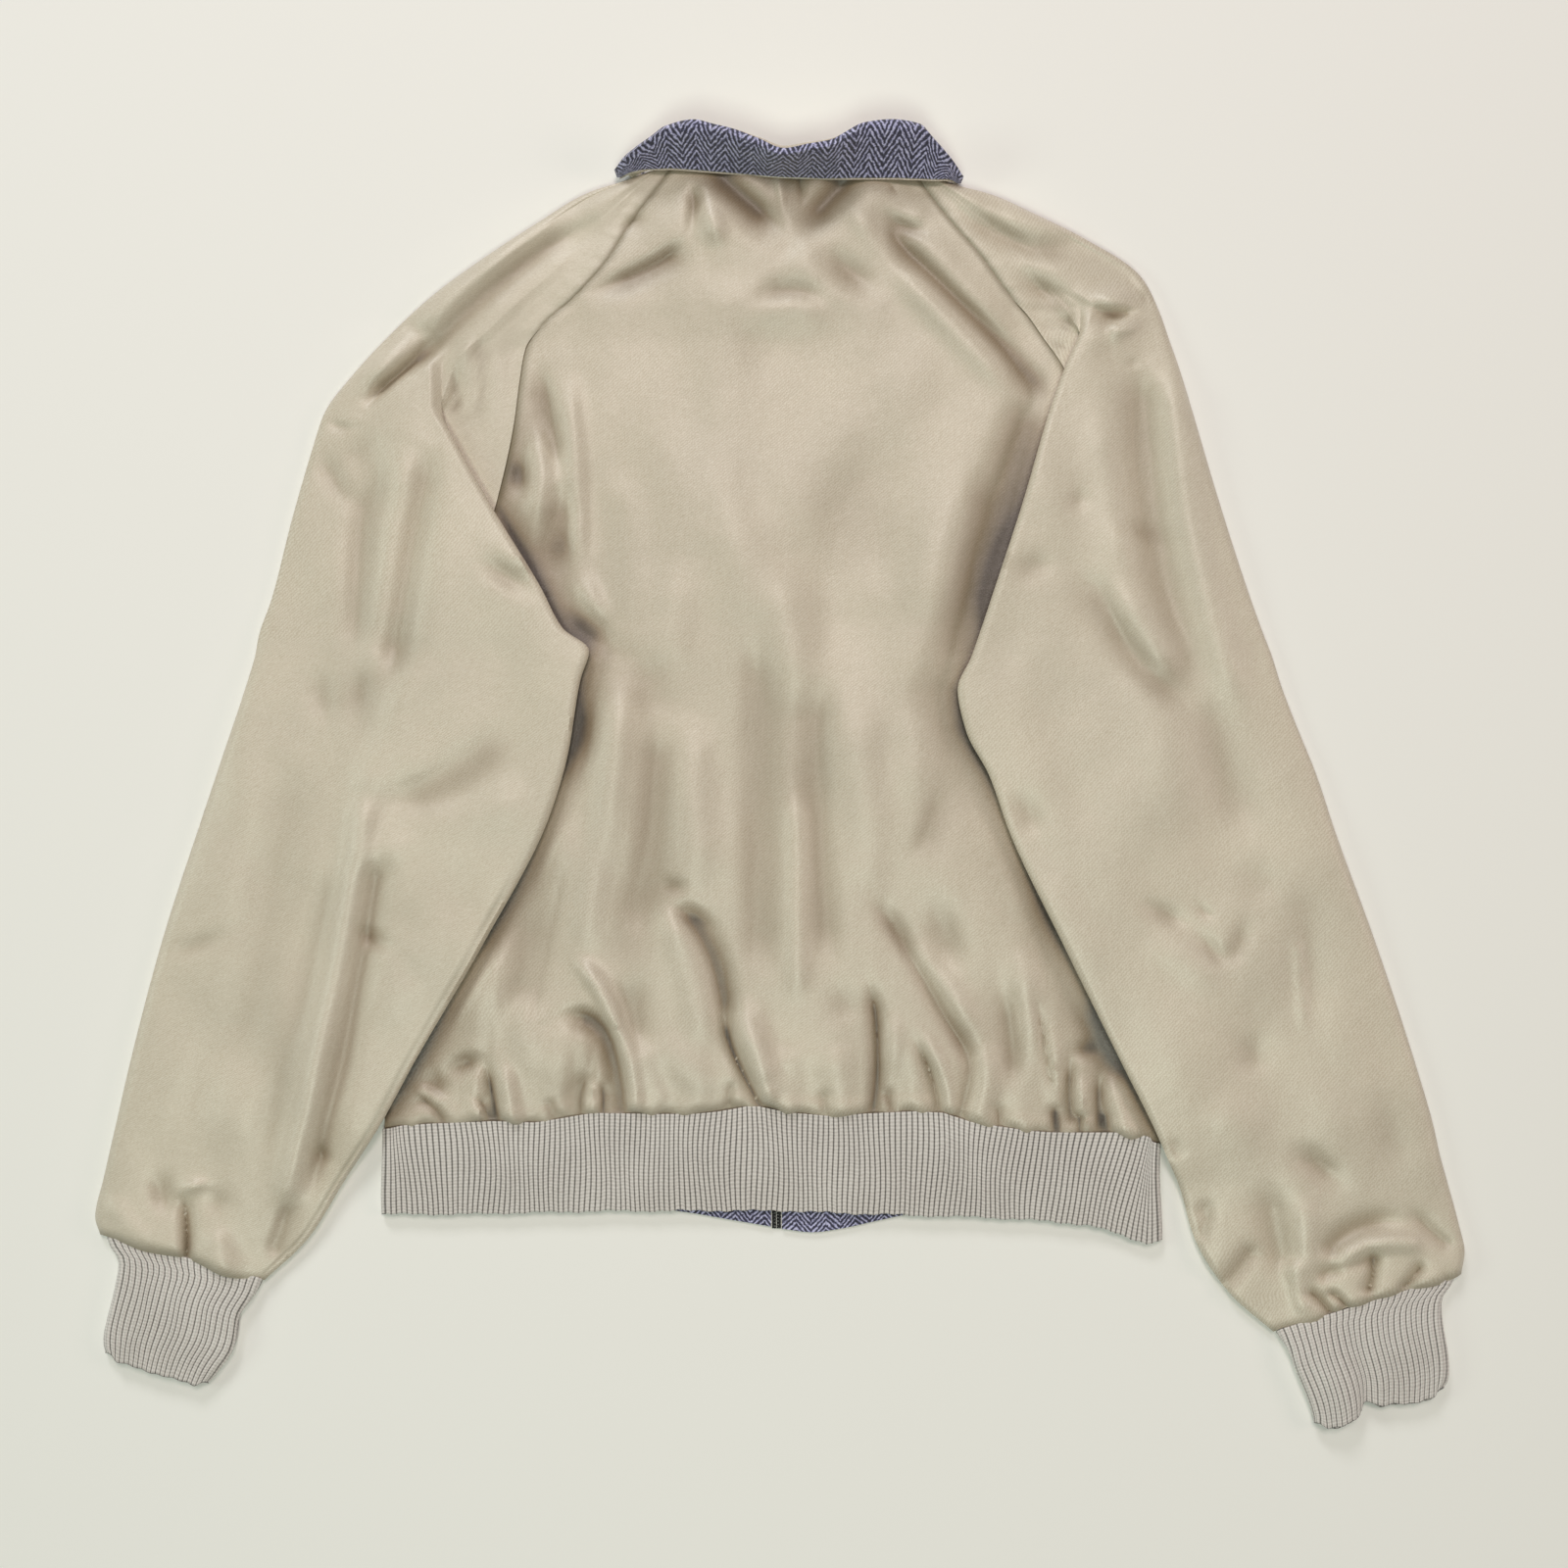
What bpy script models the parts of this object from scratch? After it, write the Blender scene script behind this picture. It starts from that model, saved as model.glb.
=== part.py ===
"""A man's blouson laid flat on its front, with its back up and its raglan sleeves over the sides of the body.

Tables are in millimetres, seen from straight above. +X is the viewer's right, +Y the collar's end and +Z up.
The floor is z = 0. A wall's middle surface is worked out first, and its two faces lie half a thickness either way.
"""

from collections import namedtuple
from math import cos, pi, radians, sin

import bpy
import numpy as np

MM = 0.001

# --- Driving sizes ---
CLOTH = 1.8  # thickness of the cotton twill with its tweed backing
LEAF = 1.2  # each leaf of the collar and each layer of a hem tab
LEAF_GAP = 0.35
COLLAR_EDGE = 0.9  # the under collar shows this far past the top collar's free edge
RIB_KNIT = 2.5
RIB_PITCH = 3.1
RIB_HEIGHT = 0.6
BAND_RISE = 0.6  # the band's upper layer lies this far above the back's
TAB_ENDS = (-72.0, 76.0)  # the hem tabs' outer ends, where the band begins
SEAM = 0.4  # clear distance between two sewn edges
FLOOR_LAYER = CLOTH / 2  # middle surface of a wall that rests on the floor
BACK_LAYER = 5.0  # middle surface of the back where it lies on the fronts
ARMPIT_LAYER = 4.4  # and between the armpits, where the sleeves' undersides come down to the body
OVER_BODY = 7.6  # underside layer of a sleeve that lies on the back
TUCK_STEP = 3.3  # from the back's level to the layer folded on it
SLEEVE_DEPTH = 4.8  # between a sleeve's two layers at its inner edge
OUTER_DEPTH = 4.6  # and at its outer edge
SLEEVE_ARCH = 0.9  # how far the upper layer rises between its two edges
SIDE_GAP = 1.15  # each side edge stops this far short of the level between front and back
SIDE_RAMP = 20.0  # run over which a sleeve comes down from the body to the floor
TUCK_SPREAD = 4.0  # half width of a crease that isn't folded over yet
SMOOTH_RISE = 0.8  # the cloth's rise across each of a crease's two bends where it isn't folded at all
HIGH_SEAM, OUTER_LIFT = 8.5, 1.2  # above this seam height the outer edge rises by so much for each further mm
ARMPIT_RISE, TUCK_RISE = 1.1, 0.6  # at the armpit the front seam and the tuck stand this much higher
ARMPIT_GAP = (1.6, 1.5)  # how far the back's corner at the armpit stays inside its seam
SIDE_START = 3.0  # a sleeve starts to come down this far beyond the body's side
BAND_MIDDLE, BAND_FADE = -250.0, 14.0  # the y of the band's middle, below which a sleeve lies on the floor
TURN_POINTS = 4  # points round a fold's tip

# The tables hold places as an eye this far above the middle sees them, at the height named.
EYE = (3.0, -5.0, 974.0)
TABLE_HEIGHT = 12.0

ZIP_X = -1.6
ZIP_HALF_WIDTH = 2.7
ZIP_TOP = 272.0
ZIP_FOOT = -277.0
ZIP_BASE, ZIP_FACE = 0.2, 2.4  # heights of the zip's underside and face
SLIDER = (5.2, 9.0)  # the slider's width and length
SLIDER_BASE, SLIDER_FACE = 0.1, 2.7
FRONT_EDGE = 3.3  # from the zip's middle to the edge of a front

Section = namedtuple("Section", "seam tuck edge outer front seam_z crease")
Tube = namedtuple("Tube", "edge outer")
Fold = namedtuple("Fold", "start end width height")
Collar = namedtuple("Collar", "neck ridge hem")

# One row for each section of a sleeve above the armpit: where the back seam, the hidden tuck, the inner edge, the
# outer edge and the front seam run, how high the back seam lies, and how far the crease between tuck and edge has
# formed: 0 is smooth, 1 is a step and 2 is folded right over.
LEFT_RAGLAN = (
    Section((-63, 376), (-70, 373), (-74, 371.5), (-92, 364), (-82, 347), 10.5, 0),
    Section((-75, 360), (-86, 359), (-92, 358.5), (-118, 356), (-88, 332), 10.5, 0),
    Section((-90, 340), (-106, 339), (-115, 338.5), (-150, 337), (-98, 312), 10.2, 0),
    Section((-106, 315), (-128, 315), (-140, 315.5), (-182, 316), (-110, 290), 9.4, 0),
    Section((-127, 292), (-154, 292), (-168, 293), (-212, 294), (-123, 268), 8.4, 0),
    Section((-146, 275), (-178, 270), (-196, 268), (-240, 268), (-136, 246), 6.4, 0.2),
    Section((-155, 262), (-193, 256), (-209, 252), (-262, 244), (-146, 229), 5.2, 0.6),
    Section((-159, 240), (-203, 233), (-209, 228), (-279, 221), (-154, 213), 5.0, 1.1),
    Section((-162, 217), (-213, 208), (-201, 210), (-286, 200), (-161, 196), 5.0, 2),
    Section((-173, 167), (-210, 158), (-177, 167), (-299, 155), (-177, 155), 5.0, 2),
    Section((-190, 115), (-202, 113), (-146, 116), (-311, 108), (-191, 113), 5.0, 2),
    Section((-198, 92), (-201, 91), (-132, 90), (-319, 85), (-198, 91), 4.2, 2),
)
RIGHT_RAGLAN = (
    Section((79, 374), (86, 370.5), (90, 368.5), (104, 361), (95, 346), 10.5, 0),
    Section((91, 358), (101, 357.5), (106, 357), (128, 356), (101, 332), 10.5, 0),
    Section((105, 340), (119, 341), (127, 341.5), (158, 343), (111, 312), 10.2, 0),
    Section((124, 318), (143, 320.5), (154, 322), (190, 327), (123, 291), 9.4, 0),
    Section((140, 296), (161, 298), (174, 299), (222, 305), (137, 268), 8.4, 0),
    Section((152, 282), (174, 283), (187, 287), (233, 284), (148, 250), 6.4, 0.6),
    Section((161, 269), (188, 268), (184, 272), (239, 267), (158, 233), 5.2, 1.8),
    Section((174, 250), (198, 247), (175, 251), (246, 247), (168, 216), 5.0, 2),
    Section((183, 226), (206, 223), (166, 226), (253, 224), (179, 196), 5.0, 2),
    Section((195, 169), (209, 168), (149, 168), (269, 170), (194, 152), 5.0, 2),
    Section((202, 113), (211, 112), (131, 113), (287, 114), (202, 111), 5.0, 2),
    Section((206, 90), (209, 90), (123, 89), (297, 86), (206, 89), 4.2, 2),
)
# Below the armpit each section is a closed ring, from its inner edge to its outer edge.
LEFT_TUBE = (
    Tube((-116, 76), (-321, 74)),
    Tube((-121, 60), (-326, 57)),
    Tube((-129, 13), (-341, 12)),
    Tube((-140, -24), (-353, -24)),
    Tube((-181, -103), (-378, -101)),
    Tube((-224, -177), (-398, -177)),
    Tube((-243, -212), (-406, -212)),
    Tube((-266, -248), (-414, -247)),
    Tube((-288, -283), (-419, -270)),
    Tube((-314, -308), (-416, -280)),
)
RIGHT_TUBE = (
    Tube((117, 72), (302, 73)),
    Tube((109, 53), (308, 54)),
    Tube((114, 28), (318, 28)),
    Tube((128, 1), (329, 1)),
    Tube((141, -35), (341, -35)),
    Tube((174, -104), (366, -104)),
    Tube((210, -177), (390, -177)),
    Tube((229, -215), (401, -215)),
    Tube((237, -233), (405, -233)),
    Tube((245, -252), (410, -251)),
    Tube((254, -283), (417, -277)),
    Tube((275, -316), (420, -291)),
    Tube((302, -340), (418, -304)),
)

# The body's side folds below the armpit, as y, left x and right x.
SIDES = (
    (86, -191, 195),
    (74, -196, 201),
    (60, -205, 211),
    (20, -217, 220),
    (-65, -232, 229),
    (-125, -238, 233),
    (-173, -241, 233),
    (-300, -242, 233),
)
SIDE_ROWS = (86, 66, 30, -20, -70, -115, -150)
HEM_ROWS = (32, 14, 0)  # the back's last rows, by their distance above the hem seam

# The seam between the back and its rib band, and the band's lower edge, as x and y.
HEM_SEAM = (
    (-242, -216), (-219, -213), (-173, -211), (-157, -213), (-113, -206), (-59, -207), (-42, -206), (-20, -202),
    (-8, -202), (7, -206), (25, -208), (80, -205), (98, -206), (115, -212), (154, -218), (199, -218), (234, -225),
)
BAND_FOOT = (
    (-242, -268), (-194, -268), (-110, -266), (3, -266), (52, -268), (126, -270), (163, -272), (190, -275),
    (208, -280), (225, -286), (234, -284),
)
FRONT_HEM = -206.0  # y of the fronts' hem seam at the zip
FRONT_FOOT = ((-242, -262), (-75, -265), (-63, -266), (-5, -276), (16, -280), (39, -277), (80, -268), (234, -266))

# Crests and valleys of the gathers on the hem seam, by turns from left to right: x, and how far up they run.
GATHERS = (
    (-225, 20), (-208, 45), (-197, 30), (-186, 50), (-180, 35), (-174, 95), (-150, 40), (-135, 30), (-126, 40),
    (-119, 60), (-114, 35), (-110, 60), (-99, 40), (-91, 110), (-74, 60), (-50, 60), (-38, 40), (-28, 55),
    (-20, 40), (-12, 100), (6, 60), (29, 40), (46, 50), (58, 105), (72, 45), (82, 60), (98, 95),
    (116, 50), (134, 60), (147, 45), (162, 50), (169, 90), (178, 40), (186, 60), (199, 35), (212, 30),
)
GATHER_HEIGHT = 1.5
GATHER_START = 12.0  # each gather reaches its full height this far above the seam
GATHER_SHARE = 0.6  # and falls off over this share of its reach
NECK_FADE_FROM, NECK_FADE = 372.0, 24.0  # the back's folds fade out below the collar, over this run
CLEAR, FOLD_FADE = 3.0, 24.0  # and beside a sleeve, from this far off over this run
HEM_FADE = 40.0  # and above the hem seam
LOWEST, LOWEST_AT_NECK, SHOULDER_Y = 3.1, 8.6, 290.0  # no fold sinks below these heights, under and above this y
INSET = 4.0  # spacing of the back's columns beside its side edges
FAN_RUN = 200.0  # run over which the back's columns fan out from even spacing to the gathers'
NECK_BOW = 3.4  # how far the back's neck seam bows up in the middle
FRONT_NECK, FRONT_BOW = 299.0, 13.0  # y of the fronts' neck seam at the zip, and how far it bows down
CURL_FIRST, CURL_SECOND = 0.35, 1.2  # the columns of a curled side edge, as shares of its curl

# The largest folds of the back: a line, the half width and how far it stands above (or sinks below) the cloth.
FOLDS = (
    Fold((-52, 362), (-40, 335), 22, 2.8),
    Fold((62, 362), (52, 333), 22, 2.8),
    Fold((6, 368), (6, 335), 20, -1.0),
    Fold((-40, 362), (-120, 296), 12, 2.2),
    Fold((58, 350), (150, 240), 14, 1.6),
    Fold((-30, 290), (36, 296), 13, 1.8),
    Fold((-128, 235), (-112, 95), 15, -1.3),
    Fold((-96, 170), (-82, 80), 12, 1.8),
    Fold((6, 90), (20, -170), 24, 1.6),
    Fold((-44, 130), (-40, -160), 16, -1.3),
    Fold((66, 120), (60, -60), 16, -1.0),
    Fold((150, 200), (120, 130), 12, -1.0),
    Fold((-100, 20), (-92, -120), 14, 1.4),
    Fold((96, -30), (112, -150), 14, 1.4),
)

# The collar, from the left front end round the back to the right one: its neck seam, folded ridge and free edge.
COLLAR = (
    Collar((-6.5, 302, 4.8), (-6.5, 323, 3.6), (-6.5, 307, 2.4)),
    Collar((-38, 307, 4.8), (-34, 328, 3.6), (-38, 317, 2.4)),
    Collar((-66, 323, 4.8), (-58, 343, 3.6), (-61, 334, 2.4)),
    Collar((-79.5, 345, 4.8), (-74, 360, 3.7), (-77, 352, 2.4)),
    Collar((-84.5, 357, 4.6), (-87, 369.5, 4.2), (-85.0, 364.2, 2.6)),
    Collar((-87, 363.5, 4.6), (-94.5, 373, 6.4), (-92.2, 370.8, 4.8)),
    Collar((-90, 366.8, 4.8), (-98, 371, 9.0), (-96.5, 367.5, 6.2)),
    Collar((-83, 369.8, 9.9), (-95, 376, 17.0), (-91, 371, 13.4)),
    Collar((-74, 373.4, 9.9), (-86, 384, 26.0), (-82, 373, 14.0)),
    Collar((-62, 377.6, 9.9), (-69, 396, 34.0), (-67, 373.5, 14.2)),
    Collar((-48, 378.7, 9.9), (-52, 400, 37.0), (-52, 372.5, 14.6)),
    Collar((-26, 380, 9.9), (-30, 395, 38.0), (-32, 371, 13.6)),
    Collar((3, 380.6, 9.9), (3, 383, 38.0), (2, 368.5, 12.8)),
    Collar((30, 380, 9.9), (32, 388, 38.0), (30, 367.5, 13.4)),
    Collar((50, 379, 9.9), (52, 398, 37.0), (50, 367.5, 14.6)),
    Collar((66, 377.8, 9.9), (69, 400, 36.0), (68, 367.5, 14.6)),
    Collar((79, 375.6, 9.9), (86, 397, 32.0), (84, 367, 14.2)),
    Collar((88, 371.6, 9.9), (98, 384, 24.0), (95, 366.5, 14.2)),
    Collar((96.5, 366.6, 9.9), (106, 374, 16.0), (103, 366.5, 13.2)),
    Collar((102.4, 364.2, 4.8), (110, 367, 9.0), (108.5, 363.8, 6.2)),
    Collar((99.5, 361, 4.6), (106.5, 369.5, 6.4), (104.4, 367.6, 4.8)),
    Collar((97, 354.5, 4.6), (99.5, 367, 4.2), (97.6, 362.0, 2.6)),
    Collar((92.5, 344, 4.8), (87, 358, 3.7), (90, 350, 2.4)),
    Collar((78, 323, 4.8), (70, 343, 3.6), (73, 334, 2.4)),
    Collar((48, 307, 4.8), (44, 328, 3.6), (48, 317, 2.4)),
    Collar((3.3, 302, 4.8), (3.3, 323, 3.6), (3.3, 307, 2.4)),
)
COLLAR_STEP = 19.0  # stations further apart than this get one more between them
COLLAR_ROLL = 5.0  # distance between the stand and the fall where the ridge stands up
STAND_ROWS = 3  # the top collar starts inside the ridge, above this many rows of the stand

# Each cuff: the two ends of its free edge, and the height of its upper layer at the inner edge, middle and outer.
Cuff = namedtuple("Cuff", "inner outer heights")
LEFT_CUFF = Cuff((-352, -375), (-412, -357), (6.6, 7.4, 6.6))
RIGHT_CUFF = Cuff((337, -398), (407, -379), (7.6, 6.8, 6.6))
CUFF_ROWS = 3
CUFF_INSETS = (3.0, 6.0)  # a cuff starts this far inside the sleeve's end, at its inner and outer edge
CUFF_SEAM_Z = 5.6  # height of a cuff's upper layer where it is sewn on
CUFF_STRETCH = 1.15  # a cuff's ribs lie closer at its free edge than the band's, by this share


def smooth(t):
    """An even rise from 0 to 1."""
    t = np.clip(t, 0.0, 1.0)
    return t * t * (3 - 2 * t)


def between(a, b, share):
    return np.asarray(a, float) * (1 - share) + np.asarray(b, float) * share


def along(table, x):
    """The table's second column at this x, its rows joined by straight lines."""
    rows = np.array(table, float)
    return float(np.interp(x, rows[:, 0], rows[:, 1]))


def side_x(y, side):
    """Where the body folds at its side, at this height on the page: side is 1 for left and 2 for right."""
    rows = np.array(SIDES, float)[::-1]
    return float(np.interp(y, rows[:, 0], rows[:, side]))


def settled(points):
    """Places as seen from the eye, moved to where they really are for their height."""
    share = (EYE[2] - points[..., 2]) / (EYE[2] - TABLE_HEIGHT)
    out = points.copy()
    out[..., 0] = EYE[0] + (points[..., 0] - EYE[0]) * share
    out[..., 1] = EYE[1] + (points[..., 1] - EYE[1]) * share
    return out


def quads_of(rows, columns, ring_from=None):
    """The faces of a grid of points. From row ring_from on, its last column joins its first."""
    faces = []
    for r in range(rows - 1):
        for c in range(columns - 1):
            faces.append((r * columns + c, (r + 1) * columns + c, (r + 1) * columns + c + 1, r * columns + c + 1))
        if ring_from is not None and r >= ring_from:
            last = r * columns + columns - 1
            faces.append((last, last + columns, (r + 1) * columns, r * columns))
    return faces


def offsets_of(points, faces):
    """For each point, the vector that moves its faces out by one unit."""
    corners = points[np.array(faces)]
    normals = np.cross(corners[:, 2] - corners[:, 0], corners[:, 3] - corners[:, 1])
    lengths = np.linalg.norm(normals, axis=1, keepdims=True)
    units = normals / np.maximum(lengths, 1e-9)
    total = np.zeros_like(points)
    for corner in range(4):
        np.add.at(total, np.array(faces)[:, corner], units)
    total /= np.maximum(np.linalg.norm(total, axis=1, keepdims=True), 1e-9)
    lean = np.zeros(len(points))
    count = np.zeros(len(points))
    for corner in range(4):
        index = np.array(faces)[:, corner]
        np.add.at(lean, index, (total[index] * units).sum(axis=1))
        np.add.at(count, index, 1)
    return total / np.clip(lean / count, 0.7, 1.0)[:, None]


def shade(name, colour, roughness, metallic=0.0):
    material = bpy.data.materials.new(name)
    material.use_nodes = True
    shader = material.node_tree.nodes["Principled BSDF"]
    shader.inputs["Base Color"].default_value = (*colour, 1.0)
    shader.inputs["Roughness"].default_value = roughness
    shader.inputs["Metallic"].default_value = metallic
    return material


def wall(name, grid, thickness, material, ring_from=None, relief=None, out=0.0):
    """A closed sheet of cloth on a grid of points, moved out from it by out, its outer face lifted by relief."""
    rows, columns = grid.shape[:2]
    points = grid.reshape(-1, 3)
    faces = quads_of(rows, columns, ring_from)
    offset = offsets_of(points, faces)
    lift = np.zeros(len(points)) if relief is None else relief.reshape(-1)
    outer = points + offset * (out + thickness / 2 + lift)[:, None]
    inner = points + offset * (out - thickness / 2)
    count = len(points)
    halves = [half for a, b, c, d in faces for half in ((a, b, c), (a, c, d))]
    shell = halves + [(c + count, b + count, a + count) for a, b, c in halves]
    edges = {(a, b) for half in halves for a, b in zip(half, half[1:] + half[:1])}
    for a, b in sorted(edges):
        if (b, a) not in edges:
            shell.append((b, a, a + count, b + count))
    mesh = bpy.data.meshes.new(name)
    mesh.from_pydata((settled(np.vstack([outer, inner])) * MM).tolist(), [], shell)
    mesh.materials.append(material)
    mesh.shade_smooth()
    mesh.set_sharp_from_angle(angle=radians(50))
    piece = bpy.data.objects.new(name, mesh)
    bpy.context.collection.objects.link(piece)
    return piece


def turn(tip, way, low, high, folded, spread, count, inward):
    """Points round a fold's tip, from height low to height high. Way is the direction out along the section.

    A fold whose tip points in (inward) opens out. Where folded is 0 the cloth only rises across the spread.
    """
    radius = abs(high - low) / 2
    points = []
    for k in range(count):
        angle = pi * (k / (count - 1) - 0.5)
        round_x = radius * (1 - cos(angle)) * (1 if inward else -1)
        x = folded * round_x + (1 - folded) * spread * sin(angle)
        z = (low + high) / 2 + (high - low) / 2 * sin(angle)
        points.append((tip[0] + way[0] * x, tip[1] + way[1] * x, z))
    return points


def upper_height(low, high, share, width):
    """The upper layer's height between a sleeve's inner edge (share 0) and its outer edge, which are width apart."""
    return between(low, high, smooth(share)) + SLEEVE_ARCH * min(1.0, width / 100) * sin(pi * share)


def over_side(x, y, side):
    """How high a sleeve's underside lies: on the floor beyond the body's side, and on the back within it."""
    way = -1 if side == 1 else 1
    beyond = (x - side_x(y, side)) * way
    on_body = 1 - smooth((beyond - SIDE_START) / SIDE_RAMP)
    on_body *= smooth((y - BAND_MIDDLE) / BAND_FADE)
    return FLOOR_LAYER + (OVER_BODY - FLOOR_LAYER) * on_body


UPPER_POINTS = 7
UNDER_POINTS = 6
SEAM_TO_EDGE = (0.0, 0.015, 0.035, 0.07, 0.3, 0.6)  # the underside's points from the underarm seam in to the edge
UNDER_SEAM = -3.0  # the underarm seam lies on the back, this far beyond the body's side
RAMP_STEPS = (26.0, 17.0, 11.0, 6.0, 2.0)  # the underside's points, by their distance from that seam


def raglan_section(row, side, last):
    """The points of one section above the armpit, from the back seam over the top and under to the front seam."""
    seam, tuck, edge = (np.array(p, float) for p in (row.seam, row.tuck, row.edge))
    outer, front = np.array(row.outer, float), np.array(row.front, float)
    way = (outer - edge) / np.linalg.norm(outer - edge)
    edge, outer = edge + way * CLOTH / 2, outer - way * CLOTH / 2
    spread = min(TUCK_SPREAD, 0.4 * np.linalg.norm(tuck - edge))
    stepped, folded = min(1.0, row.crease), max(0.0, row.crease - 1.0)
    first = row.seam_z
    second = first + between(SMOOTH_RISE, TUCK_STEP, stepped)
    third = second + between(SMOOTH_RISE, SLEEVE_DEPTH, stepped)
    outer_top = FLOOR_LAYER + OUTER_DEPTH + max(0.0, (row.seam_z - HIGH_SEAM) * OUTER_LIFT)
    start = seam + way * SEAM / 2
    points = [(*start, first), (*between(start, tuck, 0.5), first)]
    if last:
        second = OVER_BODY
        points = [(*start, first), (*between(start, tuck, 0.5), first + TUCK_RISE / 2)]
    points += turn(tuck, way, first + (TUCK_RISE if last else 0.0), second, folded, spread, TURN_POINTS, False)
    points += turn(edge, way, second, third, folded, spread, TURN_POINTS, True)
    radius = (outer_top - FLOOR_LAYER) / 2
    left, right = points[-1][:2], outer - way * radius
    width = np.linalg.norm(right - left)
    for k in range(1, UPPER_POINTS + 1):
        share = k / (UPPER_POINTS + 1)
        points.append((*between(left, right, share), upper_height(third, outer_top, share, width)))
    points += turn(outer, way, outer_top, FLOOR_LAYER, 1.0, 0.0, TURN_POINTS, False)
    finish = front + way * SEAM / 2
    front_z = FLOOR_LAYER + (ARMPIT_RISE if last else 0.0)
    for k in range(1, UNDER_POINTS + 1):
        share = k / UNDER_POINTS
        height = between(FLOOR_LAYER, front_z, smooth((share - 0.8) / 0.2))
        points.append((*between(right, finish, share), height))
    return points


def tube_section(row, side):
    """The points of one closed section below the armpit, from the underarm seam in, over the top and back under."""
    edge, outer = np.array(row.edge, float), np.array(row.outer, float)
    way = (outer - edge) / np.linalg.norm(outer - edge)
    edge, outer = edge + way * CLOTH / 2, outer - way * CLOTH / 2
    low = over_side(edge[0], edge[1], side)
    high = low + SLEEVE_DEPTH
    inner_start = edge + way * SLEEVE_DEPTH / 2
    outer_start = outer - way * OUTER_DEPTH / 2
    sign = -1 if side == 1 else 1
    edge_beyond = sign * (edge[0] - side_x(edge[1], side))
    seam_beyond = max(UNDER_SEAM, edge_beyond + 10)

    def below(beyond):
        x = side_x(edge[1], side) + sign * beyond
        share = (x - edge[0]) / (outer[0] - edge[0])
        place = between(edge, outer, share)
        return (*place, over_side(place[0], place[1], side))

    seam = np.array(below(seam_beyond))[:2]
    points = []
    for share in SEAM_TO_EDGE:
        place = between(seam, inner_start, share)
        points.append((*place, over_side(place[0], place[1], side)))
    points += turn(edge, way, low, high, 1.0, 0.0, TURN_POINTS, True)
    outer_top = FLOOR_LAYER + OUTER_DEPTH
    width = np.linalg.norm(outer_start - inner_start)
    for k in range(1, UPPER_POINTS + 1):
        share = k / (UPPER_POINTS + 1)
        points.append((*between(inner_start, outer_start, share), upper_height(high, outer_top, share, width)))
    points += turn(outer, way, outer_top, FLOOR_LAYER, 1.0, 0.0, TURN_POINTS, False)
    foot = below(seam_beyond + RAMP_STEPS[0])
    points.append((*between(outer_start, foot[:2], 0.5), FLOOR_LAYER))
    points += [below(seam_beyond + step) for step in RAMP_STEPS]
    return points


def sleeve_grid(raglan, tube, side):
    rows = [raglan_section(row, side, row is raglan[-1]) for row in raglan]
    rows += [tube_section(row, side) for row in tube]
    grid = np.array(rows, float)
    return grid if side == 2 else grid[:, ::-1]


def clear_x(y, raglan, tube, sign):
    """The x that the sleeve reaches in to, over the back, at this y."""
    places = [(row.edge[1], sign * min(sign * row.seam[0], sign * row.edge[0])) for row in raglan]
    places += [(row.edge[1], row.edge[0]) for row in tube]
    rows = np.array(sorted(places), float)
    return float(np.interp(y, rows[:, 0], rows[:, 1]))


def fold_height(x, y, fold):
    """How far this fold lifts the cloth at a point."""
    start, end = np.array(fold.start, float), np.array(fold.end, float)
    length = np.linalg.norm(end - start)
    axis = (end - start) / length
    place = np.array((x, y)) - start
    run = float(place @ axis)
    off = float(abs(place @ np.array((-axis[1], axis[0]))))
    past = max(0.0, -run, run - length)
    return fold.height * np.exp(-((off / fold.width) ** 2) - (past / fold.width) ** 2)


def gather_height(x, y, hem_y):
    """The gathers' rise and fall at a point, none on the seam itself, most just above it and less further up."""
    xs = np.array([row[0] for row in GATHERS], float)
    reach = np.array([row[1] for row in GATHERS], float)
    sign = np.array([1 if k % 2 else -1 for k in range(len(GATHERS))], float)
    above = y - hem_y
    strength = sign * np.exp(-above / (GATHER_SHARE * reach)) * smooth(above / GATHER_START)
    return GATHER_HEIGHT * float(np.interp(x, xs, strength))


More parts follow.
